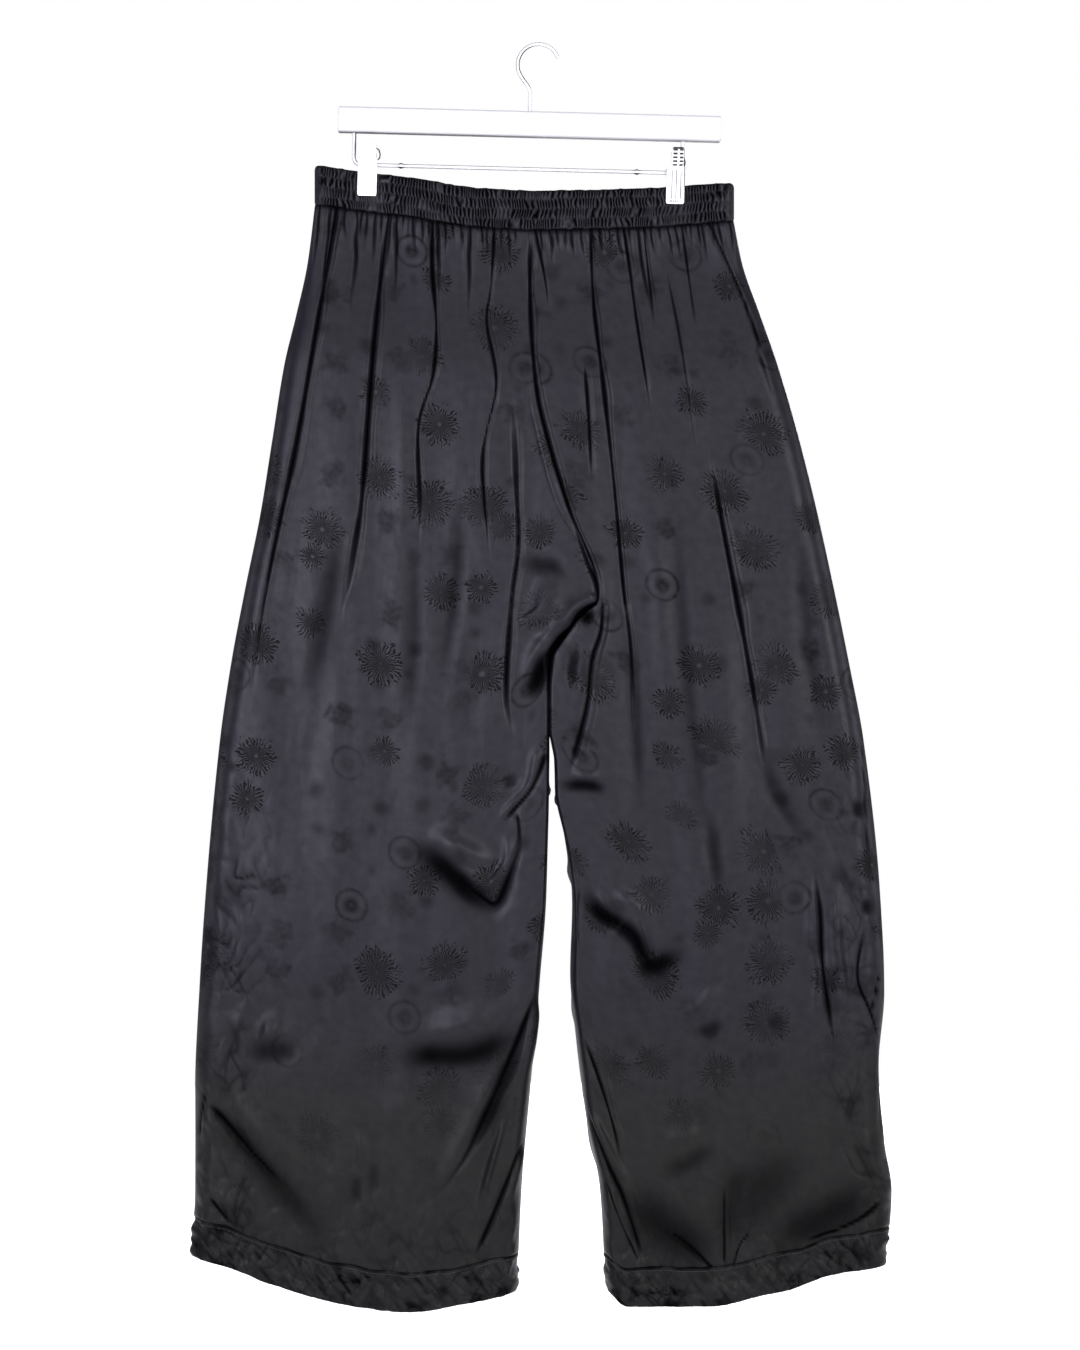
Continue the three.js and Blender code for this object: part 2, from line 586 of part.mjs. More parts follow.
const satin = new THREE.MeshStandardMaterial({ color: 0x2b2a31, roughness: 0.42, metalness: 0 });
const gatheredSatin = new THREE.MeshStandardMaterial({ color: 0x232328, roughness: 0.5, metalness: 0 });
const paintedWood = new THREE.MeshStandardMaterial({ color: 0xf4f3f0, roughness: 0.35, metalness: 0 });
const chrome = new THREE.MeshStandardMaterial({ color: 0xd9dadc, roughness: 0.12, metalness: 1 });

function piece(name, geometry, material, x = 0) {
  const mesh = new THREE.Mesh(geometry, material);
  mesh.name = name;
  mesh.position.x = x;
  return mesh;
}

const cloth = new THREE.Group();
cloth.add(
  piece("front_panel_left", legPanel(LEFT_LEG, -1, LEFT_FOLDS), satin),
  piece("front_panel_right", legPanel(RIGHT_LEG, -1, RIGHT_FOLDS), satin),
  piece("back_panel_left", legPanel(LEFT_LEG, 1, RIGHT_FOLDS), satin),
  piece("back_panel_right", legPanel(RIGHT_LEG, 1, LEFT_FOLDS), satin),
  piece("waistband_front", waistbandHalf(-1), gatheredSatin),
  piece("waistband_back", waistbandHalf(1), gatheredSatin),
  piece("hem_left", legHem(LEFT_LEG, LEFT_FOLDS, RIGHT_FOLDS), satin),
  piece("hem_right", legHem(RIGHT_LEG, RIGHT_FOLDS, LEFT_FOLDS), satin),
);

const hanger = new THREE.Group();
hanger.rotation.y = HANGER_TILT;
hanger.add(
  piece("hanger_bar", hangerBar(), paintedWood),
  piece("hanger_hook", hangerHook(), chrome),
  piece("hanger_rod", hangerRod(), chrome),
);
for (const [side, x] of [["left", LEFT_CLIP_X], ["right", RIGHT_CLIP_X]]) {
  hanger.add(
    piece(`clip_${side}_front_jaw`, clipJaw(-1), chrome, x),
    piece(`clip_${side}_back_jaw`, clipJaw(1), chrome, x),
    piece(`clip_${side}_spring`, clipSpring(), chrome, x),
  );
}

const trousers = new THREE.Group();
trousers.add(cloth, hanger);

export default trousers;
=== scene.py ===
# Wide-leg pull-on trousers in dark patterned satin, hung by the waist from a white clip hanger.
# Metres, +Z up, X to the right and Y away from the viewer. The origin is where a rail bears in the hook.
import math

import bpy
import numpy as np
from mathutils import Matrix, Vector


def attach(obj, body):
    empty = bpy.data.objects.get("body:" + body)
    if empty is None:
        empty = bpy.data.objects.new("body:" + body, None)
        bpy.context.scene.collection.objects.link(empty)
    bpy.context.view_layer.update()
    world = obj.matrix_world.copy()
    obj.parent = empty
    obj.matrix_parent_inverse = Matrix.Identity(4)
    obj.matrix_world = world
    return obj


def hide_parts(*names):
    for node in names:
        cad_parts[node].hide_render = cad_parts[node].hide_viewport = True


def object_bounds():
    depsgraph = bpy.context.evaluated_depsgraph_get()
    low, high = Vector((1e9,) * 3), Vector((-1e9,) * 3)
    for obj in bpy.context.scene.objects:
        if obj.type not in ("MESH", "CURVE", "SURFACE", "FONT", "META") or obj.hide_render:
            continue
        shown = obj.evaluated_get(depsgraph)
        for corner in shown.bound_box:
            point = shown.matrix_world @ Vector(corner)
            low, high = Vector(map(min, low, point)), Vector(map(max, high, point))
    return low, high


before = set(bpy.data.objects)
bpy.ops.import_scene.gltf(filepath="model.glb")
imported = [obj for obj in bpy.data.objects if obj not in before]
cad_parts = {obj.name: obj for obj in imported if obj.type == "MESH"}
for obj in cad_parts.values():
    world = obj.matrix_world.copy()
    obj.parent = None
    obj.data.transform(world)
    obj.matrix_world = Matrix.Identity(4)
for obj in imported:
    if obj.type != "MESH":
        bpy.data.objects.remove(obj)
cad_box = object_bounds()
MM = 0.001

# Camera: square on to the front, at the middle of the garment, and far enough away to flatten it.
FRAME_HEIGHT = 1.242  # what the picture takes in from top to bottom, at the garment
CAMERA_DISTANCE = 3.4
CAMERA_HEIGHT = -0.5787
CAMERA_SIDE = 0.0009
SENSOR = 36
camera_data = bpy.data.cameras.new("camera")
camera_data.sensor_fit = "VERTICAL"
camera_data.sensor_height = SENSOR
camera_data.lens = SENSOR * CAMERA_DISTANCE / FRAME_HEIGHT
camera_data.clip_end = 50
camera = bpy.data.objects.new("camera", camera_data)
camera.location = (CAMERA_SIDE, -CAMERA_DISTANCE, CAMERA_HEIGHT)
camera.rotation_euler = (math.pi / 2, 0, 0)
bpy.context.collection.objects.link(camera)
bpy.context.scene.camera = camera

# Setting: a matt white floor and a white surround, which lights less strongly than it looks. Two big soft
# lamps stand in front, left and right, with small ones for the hanger and the sides and one behind.
bpy.context.scene.view_settings.view_transform = "Standard"


def node(tree, kind, inputs=None, **settings):
    """One node with its settings, and its inputs set or linked. A kind with no Node in its name is a
    shader node, and a node given as an input stands for its first output."""
    made = tree.nodes.new(kind if "Node" in kind else "ShaderNode" + kind)
    for name, value in settings.items():
        setattr(made, name, value)
    for socket, value in (inputs or {}).items():
        if isinstance(value, bpy.types.Node):
            value = value.outputs[0]
        if isinstance(value, bpy.types.NodeSocket):
            tree.links.new(value, made.inputs[socket])
        else:
            made.inputs[socket].default_value = value
    return made


def linear(code, alpha=1.0):
    """A colour written as an sRGB hex value, as linear light."""
    parts = [int(code[i : i + 2], 16) / 255 for i in (1, 3, 5)]
    return tuple(c / 12.92 if c <= 0.04045 else ((c + 0.055) / 1.055) ** 2.4 for c in parts) + (alpha,)


def new_material(name):
    """A new material with nothing in its node tree, and that tree."""
    material = bpy.data.materials.new(name)
    material.use_nodes = True
    material.node_tree.nodes.clear()
    return material, material.node_tree


world = bpy.data.worlds.new("white surround")
world.use_nodes = True
world.node_tree.nodes.clear()
seen = node(world.node_tree, "Background", {"Color": linear("#ffffff"), "Strength": 1.0})
lighting = node(world.node_tree, "Background", {"Color": linear("#f4f3fa"), "Strength": 0.2})
ray = node(world.node_tree, "LightPath")
surround = node(world.node_tree, "MixShader", {0: ray.outputs["Is Camera Ray"], 1: lighting, 2: seen})
node(world.node_tree, "OutputWorld", {"Surface": surround})
bpy.context.scene.world = world

matt_white, tree = new_material("matt white floor paint")
paint = node(
    tree,
    "BsdfPrincipled",
    {
        "Base Color": linear("#f6f6f6"),
        "Roughness": 0.9,
        "Emission Color": linear("#ffffff"),
        "Emission Strength": 0.7,
    },
)
node(tree, "OutputMaterial", {"Surface": paint})
FLOOR_DROP = 0.08  # below the lowest hem
FLOOR_RADIUS = 2.6
bpy.ops.mesh.primitive_circle_add(vertices=64, radius=FLOOR_RADIUS, fill_type="NGON")
floor = bpy.context.object
floor.name = "floor"
floor.location = (0, 0, cad_box[0][2] - FLOOR_DROP)
floor.data.materials.append(matt_white)


def area_lamp(name, place, target, size, watts, colour):
    """A square soft lamp that points at a target."""
    data = bpy.data.lights.new(name, "AREA")
    data.size = size
    data.energy = watts
    data.color = linear(colour)[:3]
    lamp = bpy.data.objects.new(name, data)
    lamp.location = place
    lamp.rotation_euler = (Vector(target) - Vector(place)).to_track_quat("-Z", "Y").to_euler()
    bpy.context.collection.objects.link(lamp)


area_lamp("key lamp", (-0.85, -1.75, -0.32), (0, 0, -0.5), 0.85, 38, "#efeaff")
area_lamp("fill lamp", (1.3, -2.0, -0.15), (0, 0, -0.45), 1.1, 44, "#fbfaff")
area_lamp("hanger lamp", (0.1, -1.3, 1.0), (0, 0, -0.05), 0.6, 8, "#ffffff")
area_lamp("left side lamp", (-2.1, 0.2, -0.3), (0, 0, -0.6), 1.2, 9, "#f3f0ff")
area_lamp("right side lamp", (2.1, 0.2, -0.3), (0, 0, -0.6), 1.2, 14, "#f3f0ff")
area_lamp("back lamp", (0.3, 2.8, 0.4), (0, 0, -0.6), 1.5, 90, "#f3f0ff")


# Shape of the hanging cloth. Each leg is a flattened tube between its side seam and the centre seam or
# inseam. A row is a height and a place across there, in millimetres from the hook, read down the garment.
LEFT_SIDE = [
    (-146, -206), (-201, -213), (-247, -223), (-293, -234), (-362, -245), (-431, -256), (-500, -270),
    (-569, -283), (-638, -293), (-776, -306), (-868, -312), (-960, -316), (-1052, -316), (-1110, -321),
]
RIGHT_SIDE = [
    (-161, 179), (-201, 187), (-247, 203), (-293, 219), (-362, 239), (-431, 256), (-500, 271),
    (-569, 285), (-638, 298), (-776, 313), (-868, 317), (-937, 312), (-1006, 317), (-1052, 324),
    (-1119, 319),
]
CENTRE_AND_INSEAM = [
    (-170, -10), (-234, -4), (-326, 2), (-399, 17), (-473, 44), (-508, 55), (-522, 40), (-535, 29),
    (-549, 18), (-563, 11), (-600, 9.5), (-638, 9.5), (-776, 7), (-868, 0), (-960, -8), (-1052, -16),
    (-1143, -20),
]
# height, and how far apart the two inseams hang
LEG_GAP = [
    (-480, 0), (-514, -0.8), (-628, -0.8), (-640, 1.5), (-657, 4.5), (-684, 5.5), (-730, 15.6), (-776, 23),
    (-850, 27), (-914, 38), (-983, 53), (-1052, 72), (-1143, 81),
]
# across from a side seam at 0 to the centre or inseam at 1, and the height there
LEFT_WAIST_SEAM = [(0, -146), (0.2, -151), (0.4, -156), (0.75, -167), (1, -170)]
RIGHT_WAIST_SEAM = [(0, -161), (0.4, -166.5), (0.65, -169), (1, -170)]
LEFT_HEM_FOOT = [
    (0, -1110), (0.12, -1119), (0.25, -1134), (0.49, -1154), (0.67, -1160), (0.85, -1152), (1, -1143),
]
RIGHT_HEM_FOOT = [
    (0, -1119), (0.2, -1126), (0.34, -1139), (0.48, -1147), (0.62, -1155), (0.92, -1155), (1, -1143),
]
# height, and how far the cloth stands out from the middle
HALF_DEPTH = [
    (-150, 12), (-240, 20), (-330, 26), (-430, 31), (-514, 34), (-700, 35), (-900, 34), (-1160, 31),
]
SEAM_GAP = 0.3
SEAM = 0.04  # gap between two panels where they are sewn
CASING = 3.2
WAISTBAND_HEIGHT = 36
HEM_SHARE = 0.963  # share of the leg's length where the hem begins
CROTCH_SHARE = 0.3535
CROTCH_CURVE_STARTS = 0.25
OPENS_BY = 0.15  # share of the leg's length at which it has opened to its full depth
CLIP_PLACES = (-157, 126.6)
CLIP_WIDTH = 19
SLACK_HALF_DEPTH, SLACK_FROM_CLIP = 9.5, 55
SIDE_ROUND = (7, 20)  # width over which the cloth turns round a side, at the waist and below
INSEAM_ROUND = (6, 3.5, 12)  # the same at the inseam, at the waist, the thigh and the hem
BACK_HEM_LIFT = 4


def ease(value, low, high):
    """0 below low, 1 above high and smooth between."""
    t = np.clip((value - low) / (high - low), 0, 1)
    return t * t * (3 - 2 * t)


def mix(a, b, t):
    return a + (b - a) * t


def through(rows):
    """A smooth curve through (place, value) rows that never swings past them."""
    at, value = np.array(sorted(rows), float).T
    steep = np.diff(value) / np.diff(at)
    product = steep[:-1] * steep[1:]
    total = np.where(product > 0, steep[:-1] + steep[1:], 1)
    slope = np.concatenate([steep[:1], np.where(product > 0, 2 * product / total, 0), steep[-1:]])

    def curve(where):
        inside = np.clip(where, at[0], at[-1])
        i = np.clip(np.searchsorted(at, inside, side="right") - 1, 0, len(at) - 2)
        span = at[i + 1] - at[i]
        t = (inside - at[i]) / span
        bow = (1 - t) * t * ((1 - t) * slope[i] - t * slope[i + 1]) * span
        return mix(value[i], value[i + 1], t * t * (3 - 2 * t)) + bow

    return curve


inseam = through(CENTRE_AND_INSEAM)
straight_inseam = through([row for row in CENTRE_AND_INSEAM if row[1] < 10])
leg_gap = through(LEG_GAP)
half_depth = through(HALF_DEPTH)
LEGS = {
    "left": {
        "side": through(LEFT_SIDE),
        "inner": lambda z: inseam(z) - SEAM / 2,
        "waist_seam": through(LEFT_WAIST_SEAM),
        "hem_foot": through(LEFT_HEM_FOOT),
    },
    "right": {
        "side": through(RIGHT_SIDE),
        "inner": lambda z: inseam(z) + SEAM / 2 + leg_gap(z),
        "waist_seam": through(RIGHT_WAIST_SEAM),
        "hem_foot": through(RIGHT_HEM_FOOT),
    },
}


def from_clip(x):
    """How far a place on the waistband is from the nearer clip."""
    return np.minimum(abs(x - CLIP_PLACES[0]), abs(x - CLIP_PLACES[1]))


def waist_half_depth(x):
    """Half the distance between the waistband's front and back, which the clips pinch together."""
    slack = ease(from_clip(x), CLIP_WIDTH / 2 + 1, SLACK_FROM_CLIP)
    return mix(CASING / 2 + SEAM_GAP, SLACK_HALF_DEPTH, slack)


def waver(x, z, size, seed):
    """Soft unevenness from -1 to 1 over a surface, in patches of about one size, the same every run."""
    table = np.random.default_rng(seed).uniform(-1, 1, (64, 64))
    u, v = np.asarray(x) / size[0] + 17.3, np.asarray(z) / size[1] + 41.7
    i, j = np.floor(u).astype(int), np.floor(v).astype(int)
    s, t = ease(u - i, 0, 1), ease(v - j, 0, 1)
    low = mix(table[i % 64, j % 64], table[(i + 1) % 64, j % 64], s)
    high = mix(table[i % 64, (j + 1) % 64], table[(i + 1) % 64, (j + 1) % 64], s)
    return mix(low, high, t)


def leg_section(leg, face, turn, at, past, down, apart):
    """Points of a leg's smooth skin. turn goes from 0 at the side seam to 1 on the flat, at crosses the
    flat, past goes from 0 to 1 round the inseam, and down runs from the waist seam to the hem's foot."""
    opened = ease(down, 0, OPENS_BY)
    side_x = leg["side"](mix(leg["waist_seam"](0), leg["hem_foot"](0), down))
    inner_z = mix(leg["waist_seam"](1), leg["hem_foot"](1), down)
    inner_x = leg["inner"](inner_z)
    width = abs(inner_x - side_x)
    side_round = mix(*SIDE_ROUND, opened) / width
    inner_round = mix(INSEAM_ROUND[0], mix(*INSEAM_ROUND[1:], ease(down, 0.6, 0.85)), opened) / width
    side_turn = turn * math.pi / 2
    end_turn = np.maximum(0.02, ease(down, CROTCH_CURVE_STARTS, CROTCH_SHARE) * math.pi / 2)
    inner_turn = past * end_turn
    flat = side_round + (1 - side_round - inner_round) * at
    across = np.where(turn < 1, side_round * (1 - np.cos(side_turn)), flat)
    across = np.where(past > 0, 1 - inner_round * (1 - np.sin(inner_turn) / np.sin(end_turn)), across)
    swing = inseam(inner_z) - straight_inseam(inner_z)
    x = mix(side_x, inner_x - swing, across) + swing * across**4
    lift = BACK_HEM_LIFT * np.sin(math.pi * across) * down * down if face > 0 else 0
    z = mix(leg["waist_seam"](across), leg["hem_foot"](across), down) + lift
    deep = mix(waist_half_depth(x), half_depth(z), opened)
    roundness = np.sin(side_turn) * np.cos(inner_turn)
    y = face * np.maximum(apart / 2, deep * roundness**0.7)
    return np.stack(np.broadcast_arrays(x, y, z), axis=-1), roundness, deep, across


def normals_of(points, face_out):
    """Unit normals of a grid of points, turned the way that face_out says at its middle."""
    normal = np.cross(np.gradient(points, axis=0), np.gradient(points, axis=1))
    normal /= np.maximum(np.linalg.norm(normal, axis=-1, keepdims=True), 1e-9)
    middle = normal[normal.shape[0] // 2, normal.shape[1] // 2]
    return normal * np.sign(middle @ np.array(face_out))


def new_piece(name, points, faces, shade, material):
    """A smooth piece from points in metres and its faces. shade is how much painted shade darkens each
    point, in a fold of cloth or on metal."""
    mesh = bpy.data.meshes.new(name)
    mesh.from_pydata(points.tolist(), [], faces)
    attribute = mesh.attributes.new("shade", "FLOAT", "POINT")
    attribute.data.foreach_set("value", shade.astype(np.float32).reshape(-1))
    mesh.polygons.foreach_set("use_smooth", np.ones(len(faces), bool))
    mesh.materials.append(material)
    mesh.update()
    piece = bpy.data.objects.new(name, mesh)
    bpy.context.collection.objects.link(piece)
    return piece


def shell(name, outside, inside, uv, shade, material, closed=False):
    """A thin closed shell of cloth from a grid of outside points and one of inside points, in mm. The
    inside keeps every second point each way. uv is the place on the flat cut, in metres, and shade how much
    painted shade darkens each point."""
    columns, rows = outside.shape[:2]
    fine = np.arange(columns * rows).reshape(columns, rows)
    coarse_shape = inside[::2, ::2].shape[:2]
    coarse = columns * rows + np.arange(coarse_shape[0] * coarse_shape[1]).reshape(coarse_shape)
    if closed:
        fine = np.concatenate([fine, fine[:1]])
        coarse = np.concatenate([coarse, coarse[:1]])

    def quads(index):
        corners = [index[:-1, :-1], index[:-1, 1:], index[1:, 1:], index[1:, :-1]]
        return np.stack(corners, axis=-1).reshape(-1, 4)

    def rim(edge, under):
        return np.stack([edge[:-2:2], edge[1::2], edge[2::2], under[1:], under[:-1]], axis=-1)

    rims = [rim(fine[:, 0], coarse[:, 0]), rim(fine[::-1, -1], coarse[::-1, -1])]
    if not closed:
        rims += [rim(fine[0, ::-1], coarse[0, ::-1]), rim(fine[-1], coarse[-1])]
    four = np.concatenate([quads(fine), quads(coarse)[:, ::-1]])
    five = np.concatenate(rims)
    points = np.concatenate([outside.reshape(-1, 3), inside[::2, ::2].reshape(-1, 3)]) * MM
    volume = 0
    for faces in (four, five):
        for k in range(1, faces.shape[1] - 1):
            a, b, c = points[faces[:, 0]], points[faces[:, k]], points[faces[:, k + 1]]
            volume += np.einsum("ij,ij->", a, np.cross(b, c))
    if volume < 0:
        four, five = four[:, ::-1], five[:, ::-1]
    depth = np.concatenate([shade.reshape(-1), shade[::2, ::2].reshape(-1)])
    piece = new_piece(name, points, four.tolist() + five.tolist(), depth, material)
    layer = piece.data.uv_layers.new(name="flat cut")
    both = np.concatenate([uv.reshape(-1, 2), uv[::2, ::2].reshape(-1, 2)])
    corners = np.concatenate([four.reshape(-1), five.reshape(-1)])
    layer.data.foreach_set("uv", both[corners].astype(np.float32).reshape(-1))
    return piece


# Leg panels: two fronts and two backs of woven satin, sewn at the sides, the inseams and the centre.
# They are gathered into the waistband, so narrow folds fall from it, and the crotch and knees pull others.
MIDDLE = -3  # the garment's middle line


class Fold:
    """A valley in the cloth along a path of (x, z) points, in mm. A sharp one is a crease between two
    ridges, or beside one where lap is 1 (left of the path) or -1. A soft one is a hollow, or a ridge
    where its depth is negative, and dark says how much painted shade darkens it."""

    def __init__(self, depth, width, fade_in, fade_out, *path, soft=False, lap=0, dark=0.0):
        self.depth, self.width, self.fade_in, self.fade_out = depth, width, fade_in, fade_out
        self.soft, self.lap, self.dark = soft, lap, dark
        self.path = np.array(path, float)

    def mirrored(self):
        """The same fold on the garment's other side, for the back."""
        path = self.path * (-1, 1) + (2 * MIDDLE, 0)
        form = (self.depth, self.width, self.fade_in, self.fade_out)
        return Fold(*form, *path, soft=self.soft, lap=-self.lap, dark=self.dark)

    def reach(self, x, z):
        """Signed distance of each point from the path, and how far along it the nearest place is."""
        before, after = self.path[:1] * 2 - self.path[1:2], self.path[-1:] * 2 - self.path[-2:-1]
        ends = np.concatenate([before, self.path, after])
        t = np.linspace(0, 1, 6)[:-1, None]
        p, q, r, s = ends[:-3, None], ends[1:-2, None], ends[2:-1, None], ends[3:, None]
        square, cube = 2 * p - 5 * q + 4 * r - s, 3 * q - p - 3 * r + s
        curve = 0.5 * (2 * q + (r - p) * t + square * t**2 + cube * t**3)
        curve = np.concatenate([curve.reshape(-1, 2), self.path[-1:]])
        run = np.diff(curve, axis=0)
        length = np.concatenate([[0], np.cumsum(np.linalg.norm(run, axis=1))])
        best = np.full(x.shape, 1e9)
        side = np.ones(x.shape)
        along = np.zeros(x.shape)
        for k, (a, step) in enumerate(zip(curve[:-1], run)):
            share = np.clip(((x - a[0]) * step[0] + (z - a[1]) * step[1]) / (step @ step), 0, 1)
            away = np.hypot(x - a[0] - share * step[0], z - a[1] - share * step[1])
            nearer = away < best
            best = np.where(nearer, away, best)
            side = np.where(nearer, np.sign(step[0] * (z - a[1]) - step[1] * (x - a[0])), side)
            along = np.where(nearer, mix(length[k], length[k + 1], share) / length[-1], along)
        return best, side, along


SOFT_FADE = 0.4  # share of its length over which a soft fold fades at each end


def hollow(depth, width, dark, *path):
    """A soft valley."""
    return Fold(depth, width, SOFT_FADE, SOFT_FADE, *path, soft=True, dark=dark)


def ridge(height, width, *path):
    """A soft ridge."""
    return Fold(-height, width, SOFT_FADE, SOFT_FADE, *path, soft=True)


# Folds that fall from the waistband, those that pull from the crotch, and those of the lower legs.
FRONT_FALLS = [
    Fold(7, 3.2, 0, 0.3, (-185, -148), (-203, -258), (-221, -365), (-242, -466), (-254, -533),
        (-262, -600)),
    Fold(7.5, 3.4, 0, 0.3, (-138, -154), (-144, -201), (-152, -288), (-160, -399), (-165, -443),
        (-182, -535)),
    Fold(6, 2.6, 0, 0.3, (-98, -160), (-98, -207), (-94, -258), (-97, -305), (-110, -350), (-109, -420),
        (-110, -470)),
    Fold(5, 2.2, 0, 0.2, (-41, -166), (-44, -221), (-48, -256), (-39, -312), (-51, -373), (-50, -420),
        (-43, -484)),
    Fold(6.5, 3.2, 0.35, 0.2, (-25, -312), (-21, -399), (-19, -460), (-25, -511), (-30, -598), (-22, -640)),
    Fold(6, 2.8, 0.1, 0.1, (-8, -172), (-8, -241), (-3, -312), (7, -359), (27, -426), (47, -474),
        (57, -512)),
    Fold(1.2, 1.6, 0.2, 0.1, (-10, -320), (-3, -359), (17, -426), (50, -480)),
    Fold(3.5, 2.0, 0, 0.4, (-4, -168), (5, -213), (9, -245)),
    Fold(6.5, 2.4, 0, 0.25, (47, -168), (50, -237), (57, -298), (68, -399), (77, -500), (84, -560),
        (87, -661)),
    Fold(4, 2.2, 0.2, 0.3, (41, -290), (45, -339), (48, -405)),
    Fold(3.5, 1.8, 0, 0.3, (78, -168), (84, -213), (90, -258), (98, -312), (103, -350)),
    Fold(3.5, 1.8, 0, 0.4, (96, -166), (102, -224), (106, -262)),
    Fold(3, 1.8, 0, 0.4, (131, -164), (137, -210), (144, -265)),
    Fold(2.4, 1.8, 0.2, 0.4, (116, -200), (131, -284), (144, -385)),
    Fold(6.5, 3.0, 0.2, 0.3, (156, -375), (167, -440), (185, -535), (195, -592), (210, -690)),
    Fold(4.5, 2.2, 0, 0.4, (155, -162), (171, -197), (187, -234), (199, -268), (207, -305), (219, -335)),
    hollow(1.8, 8, 0.26, (-112, -440), (-114, -560), (-120, -650)),
    hollow(1.8, 10, 0, (-190, -540), (-200, -620), (-212, -700)),
    hollow(1.2, 12, 0, (-52, -500), (-56, -570), (-64, -660)),
    hollow(2, 9, 0.24, (238, -420), (243, -520), (262, -663)),
    hollow(1.8, 9, 0.26, (125, -390), (132, -544), (143, -645), (156, -782)),
    hollow(1.8, 7, 0.34, (84, -520), (90, -645), (94, -720)),
    ridge(1.3, 8, (-126, -300), (-124, -400), (-128, -480)),
    ridge(1.3, 8, (-188, -420), (-191, -500), (-198, -600)),
    ridge(1.3, 9, (102, -400), (112, -520), (120, -650)),
]
CROTCH_PULLS = [
    hollow(5, 7, 0.95, (12, -554), (2, -574), (-9, -604)),
    Fold(7, 3.6, 0.03, 0.3, (54, -512), (38, -521), (28, -535), (15, -550), (1, -572), (-8, -592), lap=-1),
    Fold(5, 2.4, 0.03, 0.18, (58, -511), (56, -539), (48, -565), (44, -602), (38, -629), (27, -668), lap=1),
    hollow(4, 6, 0.9, (46, -517), (42, -534)),
    hollow(3, 4, 0.5, (36, -548), (30, -575), (32, -596)),
    ridge(2.5, 6, (28, -668), (44, -672), (58, -668)),
    hollow(3, 5, 0.8, (14, -680), (42, -679), (68, -685)),
    ridge(6, 22, (-12, -505), (6, -515), (2, -545)),
    hollow(3, 6, 0.5, (-22, -478), (8, -478), (30, -486)),
]
